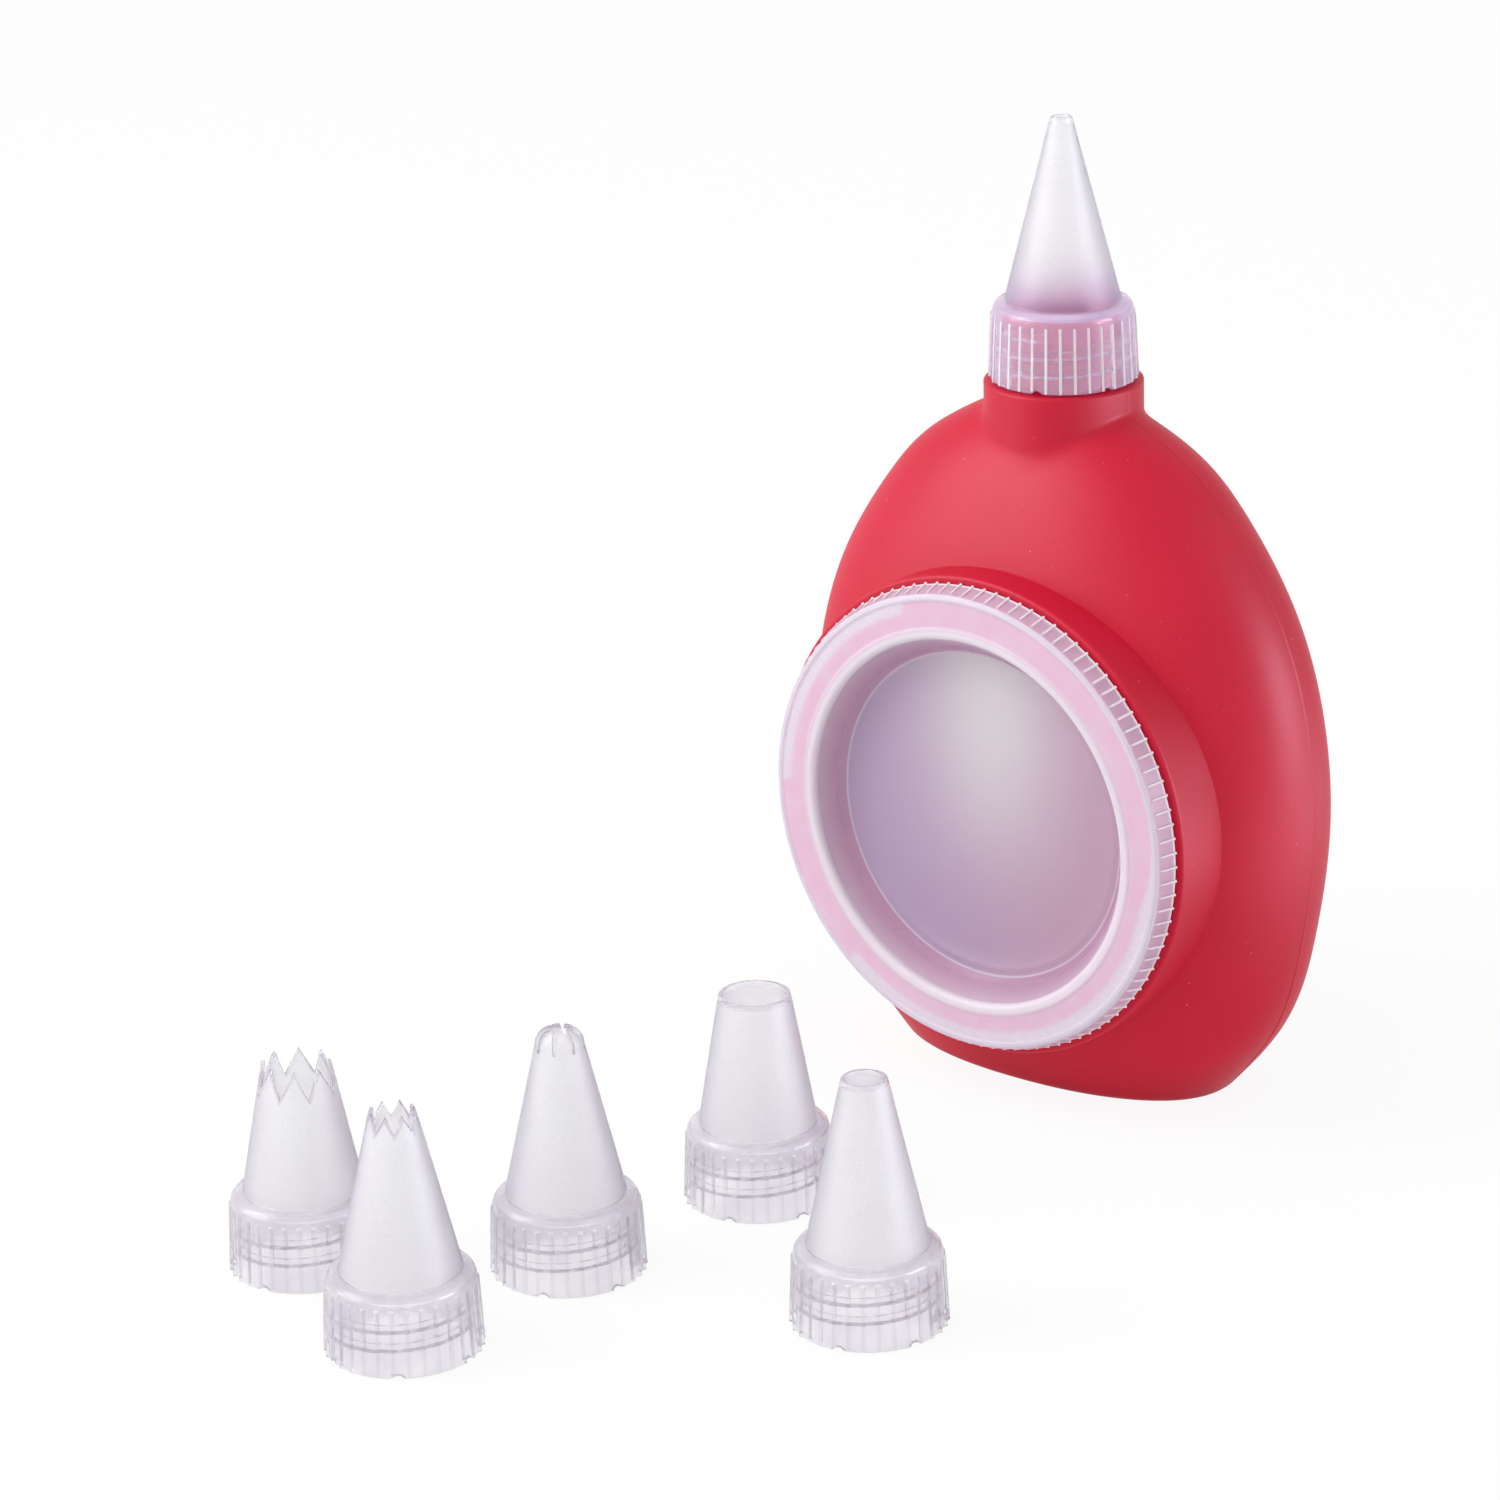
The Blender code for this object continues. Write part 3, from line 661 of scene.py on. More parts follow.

# %% [markdown]
# ### The lid's plastic
# The lid's window and well are clear, and its ring, edges and ribs are milky. Red silicone lies
# behind the lid too, and the light that comes through from it is painted into the plastic's
# colours:
# the window has a cast from lilac to pink, the well and the knurl's gaps are pink, and the mouth's
# rim shows through the ring as a pink band. The window also has a painted reflection, a pale band
# in its upper half, and the well is painted darker further down, as shade in the recess. As on the
# fitted nozzle, these are colours of the plastic itself, so they stay when the lid is taken off.

# %% The clear part of the lid, with the window's cast and painted reflection
LID_CLEAR = (0.95, 0.83, 0.97, 1.0)
LID_PALE = (0.985, 0.93, 1.0, 1.0)
WINDOW_LEFT = (0.73, 0.58, 0.80, 1.0)
WINDOW_RIGHT = (0.82, 0.58, 0.75, 1.0)
# The colour and sizes of the window's pale band, a painted reflection.
WINDOW_REFLECTION = (1.0, 0.95, 1.0, 1.0)
# The well's pink is the red behind it, painted deeper further down the well as shade.
WELL_SHADE_PINK = (0.77, 0.48, 0.68, 1.0)
KNURL_PINK = (0.90, 0.62, 0.80, 1.0)
CAST_SPAN = 44 * MM
REFLECTION_MIDDLE = 2 * MM
REFLECTION_REACH = 15 * MM
REFLECTION_FOOT = 30 * MM
REFLECTION_RISE = 40 * MM
REFLECTION_LEAST = 0.02


def make_window_plastic():
    material, tree, tone, shader = make_plastic(
        "clear_lid", LID_CLEAR, LID_PALE, see_through=0.55, gloss=0.12, ior=1.22, frost=0.30)
    x, _, z = parts_of(tree, tree.nodes.new("ShaderNodeTexCoord").outputs["Object"])
    # The cast, lilac on the left and pink on the right, is painted light from the red behind the
    # window. The pale band in its upper half is a painted reflection, and haze here is that band's
    # mask.
    beside = ((x - REFLECTION_MIDDLE) / REFLECTION_REACH).bell()
    up = ((z - REFLECTION_FOOT) / REFLECTION_RISE).eased()
    cast = mixed(tree, WINDOW_LEFT, WINDOW_RIGHT, (x / CAST_SPAN + 0.5).eased())
    haze = beside * (up * (1.0 - REFLECTION_LEAST) + REFLECTION_LEAST)
    window = mixed(tree, cast, WINDOW_REFLECTION, haze.share())
    for colour, mark in ((WELL_SHADE_PINK, "well"), (KNURL_PINK, "knurl"), (window, "window")):
        tone = mixed(tree, tone, colour, attribute(tree, mark))
    tone.into(shader.inputs["Base Color"])
    return material


CLEAR_LID = make_window_plastic()
print("material:", CLEAR_LID.name)

# %% The milky part, with the rim that shows through the ring
RIB_WHITE = (0.99, 0.97, 1.0, 1.0)
RING_WHITE = (0.86, 0.77, 0.88, 1.0)
RING_SPARK = (0.95, 0.88, 0.96, 1.0)
RING_PINK = (0.92, 0.60, 0.79, 1.0)
LIP_LILAC = (0.95, 0.88, 0.96, 1.0)
EDGE_LILAC = (0.80, 0.74, 0.88, 1.0)
SPARK_FROM, SPARK_GAIN = 0.35, 1.6
BAND_CLOUDS, BAND_LEAST, BAND_SPARKLE = 0.35, 0.55, 0.2


def make_ring_plastic():
    material, tree, tone, shader = make_plastic(
        "milky_lid", RIB_WHITE, RIB_WHITE, see_through=0.30, gloss=0.20, haze=0.3)
    mottled = use_group(tree, CLOUDS, Scale=260.0)["Value"]
    sparkle = use_group(tree, GRAIN, Scale=2400.0)["Value"]
    face = mixed(tree, RING_WHITE, RING_SPARK, ((sparkle - SPARK_FROM) * SPARK_GAIN).share())
    strength = mottled * BAND_CLOUDS + BAND_LEAST + sparkle * BAND_SPARKLE
    band = attribute(tree, "rim") * strength
    face = mixed(tree, face, RING_PINK, band.share())
    for colour, mark in ((face, "ring"), (EDGE_LILAC, "edge"), (LIP_LILAC, "lip")):
        tone = mixed(tree, tone, colour, attribute(tree, mark))
    tone.into(shader.inputs["Base Color"])
    return material


LID_PLASTIC = [CLEAR_LID, make_ring_plastic()]
print("materials:", [m.name for m in LID_PLASTIC])

# %% [markdown]
# ## The flask
# The flask was designed as a stack of level sections: squarish ovals that swell from the base,
# are widest at two fifths of the height and close in towards the shoulder. A curve through a few
# measured shares gives width and depth at any height. A round core, blended in with a fillet,
# makes the shoulder under the neck. A mould line runs up both sides, where its two halves met.

# %% Width and depth at any height
BODY_HEIGHT = 125.3 * MM
MOULD_LINE = 0.14 * MM
BODY_WIDTH = 104.3 * MM - 2 * MOULD_LINE
BODY_DEPTH = 49.1 * MM
OUTLINE_SHARES = np.array((
    (0.0, 0.630, 0.679), (0.096, 0.820, 0.862), (0.240, 0.946, 0.976), (0.400, 1.0, 1.0),
    (0.560, 0.977, 0.951), (0.718, 0.854, 0.854), (0.838, 0.665, 0.720), (0.918, 0.462, 0.520),
    (0.966, 0.250, 0.315), (1.0, 0.100, 0.150)))


def smooth_curve(x, y):
    """A function through the points whose bend changes smoothly too, a natural cubic spline."""
    gap = np.diff(x)
    rise = np.diff(y) / gap
    inner = len(x) - 2
    matrix = np.zeros((inner, inner))
    for i in range(inner):
        matrix[i, i] = 2 * (gap[i] + gap[i + 1])
        if i:
            matrix[i, i - 1] = matrix[i - 1, i] = gap[i]
    bend = np.concatenate([[0.0], np.linalg.solve(matrix, 6 * np.diff(rise)), [0.0]])

    def value(at):
        k = np.clip(np.searchsorted(x, at) - 1, 0, len(gap) - 1)
        h, right = gap[k], at - x[k]
        left = x[k + 1] - at
        return ((bend[k] * left ** 3 + bend[k + 1] * right ** 3) / (6 * h)
                + (y[k] / h - bend[k] * h / 6) * left
                + (y[k + 1] / h - bend[k + 1] * h / 6) * right)
    return value


width_share = smooth_curve(OUTLINE_SHARES[:, 0], OUTLINE_SHARES[:, 1])
depth_share = smooth_curve(OUTLINE_SHARES[:, 0], OUTLINE_SHARES[:, 2])
print("half width at two fifths:", round(width_share(0.4) * BODY_WIDTH / 2 / MM, 2), "mm")

# %% A level section
SECTION_POWER = 2.2
LEAST_HALF = 0.5 * MM
SHOULDER_RADIUS = 13.8 * MM
SHOULDER_FILLET = 1.5 * MM
ROUND_FILLET = 0.1 * MM
SIDE_STEPS = 128
LINE_STOPS = np.array((-2.0, -1.0, 0.0, 1.0, 2.0))
LINE_RISE = np.array((0.0, 0.75, 1.0, 0.75, 0.0))
LINE_STEP = 0.13 * MM
LARGEST_STEP = 0.4


def section(share, inset, core, soft):
    """One section's half width and half depth, with the round core that it never goes under."""
    half_width = max(width_share(share) * BODY_WIDTH / 2 - inset, LEAST_HALF)
    half_depth = max(depth_share(share) * BODY_DEPTH / 2 - inset, LEAST_HALF)
    return half_width, half_depth, core, soft


def at_least(size, core, soft):
    """The larger of two sizes, rounded off where they are nearly alike."""
    overlap = np.maximum(soft - np.abs(size - core), 0.0) / soft
    return np.maximum(size, core) + overlap ** 2 * soft / 4


def section_ring(height, oval, line=0.0):
    """A ring of points round a section, evenly spaced, with close stops at the two mould lines."""
    half_width, half_depth, core, soft = oval
    flat = at_least(half_depth, core, soft) / at_least(half_width, core, soft)
    step = math.pi / SIDE_STEPS
    stop = min(LINE_STEP / at_least(half_depth, core, soft), LARGEST_STEP * step)
    half_turn = np.concatenate([LINE_STOPS * stop, np.arange(1, SIDE_STEPS) * step])
    turn = np.concatenate([half_turn, half_turn + math.pi])
    rise = np.tile(np.concatenate([LINE_RISE, np.zeros(SIDE_STEPS - 1)]), 2)
    angle = np.arctan2(flat * np.sin(turn), np.cos(turn))
    across = np.abs(np.cos(angle)) / half_width
    deep = np.abs(np.sin(angle)) / half_depth
    radius = (across ** SECTION_POWER + deep ** SECTION_POWER) ** (-1 / SECTION_POWER)
    radius = at_least(radius, core, soft) + rise * line
    return np.stack([radius * np.cos(angle), radius * np.sin(angle),
                     np.full(len(angle), height)], axis=1)


def round_ring(height, radius, line=0.0):
    """The same ring of points on a circle."""
    return section_ring(height, (LEAST_HALF, LEAST_HALF, radius, ROUND_FILLET), line)


print("stops in a ring:", len(round_ring(0.0, MM)))

# %% The flask's skin, outside and inside
BODY_WALL = 2.4 * MM
BODY_FLOOR = 3.0 * MM
BASE_EDGE = 1.2 * MM
SHOULDER_EDGE = 0.4 * MM
NECK_TOP = 137.4 * MM
NECK_ROOT = 9.3 * MM
NECK_CREST = 10.2 * MM
NECK_BORE = 7.0 * MM
NECK_EDGE = 0.5 * MM
CAVITY_FILLET = 6.0 * MM
LINE_FOOT = 2 * MM
LINE_FADE = 6 * MM
BODY_LEVELS = np.concatenate([np.linspace(2 * MM, 100 * MM, 66),
                              np.linspace(100.8 * MM, 124.6 * MM, 62)])
CAVITY_SHARES = np.concatenate([np.linspace(1.0, 0.85, 22), np.linspace(0.83, 0.04, 30),
                                [0.02, 0.008, 0.0]])


def mould_line_at(height):
    """The mould line fades in above the base."""
    return MOULD_LINE * min(max((height - LINE_FOOT) / LINE_FADE, 0.0), 1.0)


def flask_skin():
    """Rings up the outside, over the neck's top and down the bore into the cavity."""
    rings, marks = [], []

    def add(ring, neck=0.0):
        rings.append(ring)
        marks.append(neck)

    def add_round(points, neck=0.0, line_below=0.0):
        for radius, height in points:
            add(round_ring(height, radius, MOULD_LINE if height < line_below else 0.0), neck)

    def level(height, inset=0.0):
        oval = section(height / BODY_HEIGHT, inset, SHOULDER_RADIUS, SHOULDER_FILLET)
        add(section_ring(height, oval, mould_line_at(height)))

    for out, height in arc((0, BASE_EDGE), BASE_EDGE, -90, 0, 6):
        level(height, BASE_EDGE - out)
    for height in BODY_LEVELS:
        level(height)
    shoulder = arc((SHOULDER_RADIUS - SHOULDER_EDGE, BODY_HEIGHT - SHOULDER_EDGE),
                   SHOULDER_EDGE, 0, 90, 4)
    add_round(shoulder, line_below=BODY_HEIGHT - SHOULDER_EDGE / 2)
    neck_foot = arc((NECK_ROOT + NECK_EDGE, BODY_HEIGHT + NECK_EDGE), NECK_EDGE, -90, -180, 4)
    add_round(neck_foot)
    neck_heights = np.linspace(neck_foot[-1][1], NECK_TOP - NECK_EDGE, 46)[1:-1]
    add_round([(NECK_ROOT, height) for height in neck_heights], neck=1.0)
    add_round(arc((NECK_ROOT - NECK_EDGE, NECK_TOP - NECK_EDGE), NECK_EDGE, 0, 90, 4))
    add_round(arc((NECK_BORE + NECK_EDGE, NECK_TOP - NECK_EDGE), NECK_EDGE, 90, 180, 4))
    bore_heights = np.linspace(NECK_TOP - MM, BODY_HEIGHT - BODY_WALL + MM, 8)
    add_round([(NECK_BORE, height) for height in bore_heights])
    cavity_height = BODY_HEIGHT - BODY_WALL - BODY_FLOOR
    for share in CAVITY_SHARES:
        oval = section(share, BODY_WALL, NECK_BORE, CAVITY_FILLET)
        add(section_ring(BODY_FLOOR + cavity_height * share, oval))
    return skin("flask_silicone", rings, {"neck": marks}, loop=False)


flask = flask_skin()
THREAD_PITCH = 3.17 * MM
shape(flask, THREAD_TREE, SILICONE, "neck", {
    "Pitch": THREAD_PITCH, "Ridge Height": NECK_CREST - NECK_ROOT, "Ridge Width": 1.5 * MM,
    "Lowest": BODY_HEIGHT + 2.2 * MM, "Turns": 2.6, "Start Turn": 0.1})
settle(flask)

# %% [markdown]
# ### The filling mouth
# A round collar stands out of the flask's curved front, and inside it a thinner rim carries two
# long lugs for the lid. The collar is turned about the mouth's own axis, but its back edge has to
# lie in the curved wall, so its last ring follows the flask. Two Boolean steps then join it and
# open the mouth: the only way to make a clean foot where a straight collar meets a curved body.

# %% Collar and rim
MOUTH_HEIGHT = 52.7 * MM
MOUTH_BORE = 34.5 * MM
RIM_RADIUS = 37.5 * MM
COLLAR_FACE = 26.35 * MM
COLLAR_RADIUS = 43.15 * MM
RIM_TOP = COLLAR_FACE + 2.7 * MM
RIM_FILLET = 0.2 * MM
MOUTH_EDGE = 0.5 * MM
MOUTH_SIDES = 240
MOUTH_ANGLES = np.arange(MOUTH_SIDES) / MOUTH_SIDES * math.tau
MOUTH_AXIS = Matrix.Translation((0, 0, MOUTH_HEIGHT)) @ Matrix.Rotation(math.radians(90), 4, "X")
RIM_LUGS = ((109.0, -12.0, 0.05), (231.0, 179.0, 0.004))


def turns(degrees):
    return degrees / 360.0


def front_of_flask(x, z):
    """How far the flask's front stands out from its middle plane at a point."""
    share = np.clip(z / BODY_HEIGHT, 0.0, 1.0)
    half_width = width_share(share) * BODY_WIDTH / 2
    inside = np.maximum(1.0 - (np.abs(x) / half_width) ** SECTION_POWER, 0.0)
    return depth_share(share) * BODY_DEPTH / 2 * inside ** (1 / SECTION_POWER)


def collar_skin():
    core = MOUTH_BORE - 2 * MM
    edge, fillet = MOUTH_EDGE, RIM_FILLET
    points, marks = join([
        ("", [(core, 0.0), (core, RIM_TOP)]),
        ("", arc((RIM_RADIUS - edge, RIM_TOP - edge), edge, 90, 0, 5)),
        ("rim", straight((RIM_RADIUS, RIM_TOP - edge - 0.15 * MM),
                         (RIM_RADIUS, COLLAR_FACE + fillet), 10)),
        ("", arc((RIM_RADIUS + fillet, COLLAR_FACE + fillet), fillet, 200, 270, 3)),
        ("", straight((RIM_RADIUS + MM, COLLAR_FACE),
                      (COLLAR_RADIUS - edge - 0.1 * MM, COLLAR_FACE), 3)),
        ("", arc((COLLAR_RADIUS - edge, COLLAR_FACE - edge), edge, 90, 0, 5)),
        ("", [(COLLAR_RADIUS, COLLAR_FACE - MM), (COLLAR_RADIUS, 0.0)])])
    rings = turned(points, MOUTH_ANGLES)
    for ring in (rings[0], rings[-1]):
        x, z = ring[:, 0], MOUTH_HEIGHT + ring[:, 1]
        ring[:, 2] = front_of_flask(x, z) - BODY_WALL / 2
    return skin("collar_form", rings, marks, loop=True)


collar = collar_skin()
for last, first, fade in RIM_LUGS:
    shape(collar, LUG_TREE, SILICONE, "rim", {
        "Lug Height": 2.0 * MM, "From": turns(first), "To": turns(last), "Fade": fade,
        "Low": COLLAR_FACE + 0.5 * MM, "High": RIM_TOP})
settle(collar, MOUTH_AXIS)

# %% Join the collar and open the mouth
def boolean(piece, other, operation):
    """Joins or cuts the piece with another mesh, which is then gone."""
    modifier = piece.modifiers.new(operation, "BOOLEAN")
    modifier.operation = operation
    modifier.solver = "EXACT"
    modifier.object = other
    settle(piece)
    bpy.data.objects.remove(other)


bore_points = straight((MOUTH_BORE, 0.0), (MOUTH_BORE, RIM_TOP + 2 * MM), 1)
bore = skin("bore_form", turned(bore_points, MOUTH_ANGLES), {}, loop=False)
settle(bore, MOUTH_AXIS)
boolean(flask, collar, "UNION")
boolean(flask, bore, "DIFFERENCE")

# %% Body and solid of a finished piece
def finish_piece(piece, node, body):
    """Gives the piece its body and the solid that it stands for."""
    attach(piece, body)
    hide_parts(node)
    low, high = (np.array(corner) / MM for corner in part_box(node))
    seen = np.array([v.co for v in piece.data.vertices]) / MM
    print(piece.name, "inside its solid's box by", np.round(seen.min(0) - low, 2),
          np.round(high - seen.max(0), 2))


flask.data.materials.clear()
flask.data.materials.append(SILICONE[0])
flask.data.polygons.foreach_set("material_index", [0] * len(flask.data.polygons))
finish_piece(flask, "bottle_body", "flask")

# %% [markdown]
# ## The lid
# The lid is one moulding: a knurled skirt, a flat ring with a rounded inner lip, and a deep well
# whose floor is the window. All of it is turned about the mouth's axis, so it is one profile
# again. The ribs of the knurl end in small beads at the skirt's edge. Between the rim's own lugs,
# the skirt has lugs that point inwards: they show through the ring as paler stretches.

# %% Profile of the lid
LID_RADIUS = 41.7 * MM
LID_TOP_RADIUS = LID_RADIUS - 0.7 * MM
LID_EDGE = 0.7 * MM
LID_INNER = 39.9 * MM
LID_FACE = 4.4 * MM
LID_CEILING = 3.0 * MM
LIP_RADIUS = 1.0 * MM
LIP_PLACE = 33.8 * MM
WELL_OUTSIDE = 34.2 * MM
WINDOW_FACE = -1.1 * MM
WINDOW_BACK = -2.5 * MM
WINDOW_RADIUS = 29.7 * MM
WINDOW_STEP = WINDOW_FACE + 0.12 * MM
SKIRT_FOOT = 0.3 * MM
RING_SINK = 0.15 * MM


def lid_profile():
    """From the window's middle over the face and down the skirt, and back along the inside."""
    face, low, top_radius, edge = LID_FACE, LID_FACE - RING_SINK, LID_TOP_RADIUS, LID_EDGE
    return join([
        ("window", straight((1.0 * MM, WINDOW_FACE), (27.45 * MM, WINDOW_FACE), 8)),
        ("window", straight((27.7 * MM, WINDOW_STEP), (29.1 * MM, WINDOW_STEP), 2)),
        ("", [(29.25 * MM, WINDOW_FACE + 0.14 * MM), (29.45 * MM, WINDOW_FACE + 0.2 * MM)]),
        ("well", straight((WINDOW_RADIUS - 0.1 * MM, WINDOW_FACE + 0.3 * MM),
                          (LIP_PLACE - 0.92 * MM, face - LIP_RADIUS - 0.3 * MM), 5)),
        ("lip", arc((LIP_PLACE, face - LIP_RADIUS), LIP_RADIUS, 165, 90, 8)),
        ("ring", straight((34.6 * MM, face), (34.8 * MM, face), 1)),
        ("ring", straight((35.0 * MM, low), (39.7 * MM, low), 12)),
        ("edge", straight((39.9 * MM, face), (40.1 * MM, face), 1)),
        ("ring", [(top_radius - edge - 0.15 * MM, face)]),
        ("edge", arc((top_radius - edge, face - edge), edge, 75, 50, 2)),
        ("", arc((top_radius - edge, face - edge), edge, 33, 15, 1)),
        ("knurl", straight((top_radius, face - edge - 0.05 * MM),
                           (LID_RADIUS, SKIRT_FOOT + 0.5 * MM), 13)),
        ("hem", [(LID_RADIUS + 0.12 * MM, SKIRT_FOOT + 0.35 * MM),
                 (LID_RADIUS + 0.15 * MM, SKIRT_FOOT + 0.15 * MM)]),
        ("", straight((LID_RADIUS - 0.1 * MM, SKIRT_FOOT), (LID_INNER + 0.2 * MM, SKIRT_FOOT), 1)),
        ("skirt", straight((LID_INNER, SKIRT_FOOT + 0.2 * MM),
                           (LID_INNER, LID_CEILING - 0.2 * MM), 10)),
        ("", straight((LID_INNER - 0.2 * MM, LID_CEILING), (34.4 * MM, LID_CEILING), 3)),
        ("", straight((WELL_OUTSIDE, LID_CEILING - 0.2 * MM), (WELL_OUTSIDE, 1.9 * MM), 2)),
        ("", straight((34.1 * MM, 1.7 * MM), (31.1 * MM, WINDOW_BACK + 0.1 * MM), 4)),
        ("window", straight((30.9 * MM, WINDOW_BACK), (1.0 * MM, WINDOW_BACK), 8))])


lid_points, lid_marks = lid_profile()
print("points in the lid's profile:", len(lid_points), "marks:", sorted(lid_marks))

# %% Where the rim shows through the ring
RIM_INSIDE = 34.0 * MM
BAND_FADE = 1.6 * MM
BAND_SPREAD = 0.3 * MM
BAND_EDGE = 0.8 * MM
LUG_REACH = 2.4 * MM


def rim_behind(radius, degrees):
    """1 where red silicone lies behind the ring: all round the rim, and further out at its lugs."""
    inner = np.clip((radius - RIM_INSIDE) / BAND_FADE, 0.0, 1.0)
    reach = np.full(len(radius), RIM_RADIUS + BAND_SPREAD)
    for last, first, fade in RIM_LUGS:
        past = (degrees - first) % 360.0
        out = np.clip(past / (fade * 360.0), 0.0, 1.0) * np.clip(last - first - past, 0.0, 1.0)
        reach += out * LUG_REACH
    return inner * np.clip((reach - radius) / BAND_EDGE + 0.5, 0.0, 1.0)


print("the rim's band begins at a radius of", round(RIM_INSIDE / MM, 1), "mm")

# %% The lid
LID_RIBS = 104
RIB_STOPS = (0, 0.04, 0.08, 0.115, 0.35, 0.65, 0.885, 0.92, 0.96)
WELL_SHADE_FADE = 3.5 * MM
CLEAR_FROST = 0.35
FROST_FROM = 30 * MM

lid_marks["frost"] = [1.0 if height > 0 and radius > FROST_FROM else CLEAR_FROST
                      for radius, height in lid_points]
lid_marks["thick"] = np.sum([lid_marks[mark] for mark in ("ring", "lip", "edge", "hem")], axis=0)
# The well's mark grows further down the well, so its pink is painted deeper there, as shade in the
# recess, over the red that lies behind the wall.
well_heights = np.array([height for _, height in lid_points])
well_shade = np.clip((LID_FACE - well_heights) / WELL_SHADE_FADE, 0.0, 1.0)
lid_marks["well"] = np.array(lid_marks["well"]) * well_shade
lid_marks["ribbed"] = np.add(lid_marks["knurl"], lid_marks["hem"])
lid = skin("lid_clear", turned(lid_points, rib_angles(LID_RIBS, RIB_STOPS)), lid_marks, loop=False)
lid_x, lid_y, _ = np.array([v.co for v in lid.data.vertices]).T
rim_marks = rim_behind(np.hypot(lid_x, lid_y), np.degrees(np.arctan2(lid_y, lid_x)))
mark_points(lid.data, "rim", rim_marks * np.repeat(lid_marks["ring"], LID_RIBS * len(RIB_STOPS)))
shape(lid, RIB_TREE, LID_PLASTIC, "ribbed", {
    "Ribs": float(LID_RIBS), "Rib Height": 0.30 * MM, "Half Width Share": 0.115, "Top": 3.7 * MM,
    "Run Out": 0.4 * MM, "Bead Height": 0.10 * MM, "Bead Top": 1.3 * MM, "Haze": 1.0})
for first, last in ((111.0, 177.0), (233.0, 343.0)):
    shape(lid, LUG_TREE, LID_PLASTIC, "skirt", {
        "Lug Height": -1.8 * MM, "From": turns(first), "To": turns(last), "Fade": 0.004,
        "Low": 0.9 * MM, "High": LID_CEILING})
settle(lid, MOUTH_AXIS @ Matrix.Translation((0, 0, COLLAR_FACE)))
finish_piece(lid, "filling_lid", "lid")

# %% [markdown]
# ## The nozzles
# Six nozzles share one cap and differ in the cone above it. The cap has an inside thread for the
# flask's neck, fine ribs to grip it by, and a rounded shoulder. It is drawn once as a profile
# that goes up the outside and down the inside, and one function makes all six from it. The
# frosting of an open cone ends just under its tip, and a close pair of rings there keeps that
# edge sharp.

# %% Profile of a cap with its cone
CAP_HEIGHT = 13.7 * MM
CAP_FOOT_RADIUS = 12.65 * MM
CAP_TOP_RADIUS = 12.1 * MM
CAP_EDGE = 1.7 * MM
CAP_BEVEL = 0.25 * MM
CAP_INNER = 11.5 * MM
CAP_CEILING_RADIUS = 10.95 * MM
CAP_CEILING = 12.4 * MM
CONE_RADIUS = 10.0 * MM
CONE_WALL = 1.0 * MM
CONE_FILLET = 0.2 * MM
TIP_WALL = 0.7 * MM
TIP_EDGE = 0.15 * MM
CLEAR_RIM = 0.7 * MM
SKIRT_LEVELS = np.array((0.25, 0.5, 1.0, 1.5, 2, 4, 6, 8, 9.5, 10.5, 11.0, 11.2, 11.3, 11.4, 11.5,
                         11.58, 11.65, 11.75, 12.0)) * MM


def rimmed(foot, tip, steps, rim):
    """A straight wall with a close pair of rings at the height where its clear rim starts."""
    foot, tip = np.array(foot), np.array(tip)
    points = straight(foot, tip, steps)
    for z in (rim - 0.05 * MM, rim):
        points.insert(-1, tuple(foot + (tip - foot) * (z - foot[1]) / (tip[1] - foot[1])))
    return points


def nozzle_profile(cone_height, tip_radius, dome=0.0):
    """Up the outside from the foot and down the inside. A dome closes the tip to a small hole."""
    top = CAP_HEIGHT + cone_height
    cone_top = top - dome if dome else top - TIP_EDGE
    rim = cone_top - CLEAR_RIM
    skirt_ends = SKIRT_LEVELS[[0, -1]]
    skirt = [(float(np.interp(z, skirt_ends, (CAP_FOOT_RADIUS, CAP_TOP_RADIUS))), z)
             for z in SKIRT_LEVELS]
    if dome:
        hole = tip_radius - dome
        tip = (arc((hole, cone_top), dome, 5, 90, 12)
               + arc((hole, cone_top), dome - TIP_WALL, 90, 5, 10))
    else:
        outside, inside = tip_radius - TIP_EDGE, tip_radius - TIP_WALL + TIP_EDGE
        tip = (arc((outside, cone_top), TIP_EDGE, 10, 90, 3)
               + arc((inside, cone_top), TIP_EDGE, 90, 170, 3))
    return join([
        ("", [(CAP_INNER + CAP_BEVEL, 0.0), (CAP_FOOT_RADIUS - CAP_BEVEL, 0.0)]),
        ("skirt", skirt),
        ("", arc((CAP_TOP_RADIUS - CAP_EDGE, CAP_HEIGHT - CAP_EDGE), CAP_EDGE, 8, 90, 8)),
        ("", arc((CONE_RADIUS + CONE_FILLET, CAP_HEIGHT + CONE_FILLET), CONE_FILLET, -90, -170, 3)),
        ("cone", rimmed((CONE_RADIUS, CAP_HEIGHT + CONE_FILLET + 0.1 * MM),
                        (tip_radius, cone_top), 18, rim)),
        ("cone", tip),
        ("cone", rimmed((CONE_RADIUS - CONE_WALL, CAP_HEIGHT),
                        (tip_radius - TIP_WALL, cone_top - 0.1 * MM), 16, rim)[::-1]),
        ("", straight((CONE_RADIUS - CONE_WALL, CAP_CEILING + 0.2 * MM),
                      (CAP_CEILING_RADIUS - 0.2 * MM, CAP_CEILING), 2)),
        ("thread", straight((CAP_CEILING_RADIUS, CAP_CEILING - 0.2 * MM),
                            (CAP_INNER, CAP_BEVEL), 70))])


FINE_HEIGHT = 31.8 * MM
FINE_TIP = 1.9 * MM
nozzle_points, nozzle_marks = nozzle_profile(FINE_HEIGHT, FINE_TIP)
print("points in the profile:", len(nozzle_points), "marks:", sorted(nozzle_marks))

# %% One function for all nozzles
CAP_RIBS = 32
CAP_STOPS = (0, 0.045, 0.09, 0.135, 0.18, 0.30, 0.43, 0.57, 0.70, 0.82, 0.865, 0.91, 0.955)
CAST_REACH = 7.0 * MM
CAST_FALL = 1.5
STAR_POINTS = 8


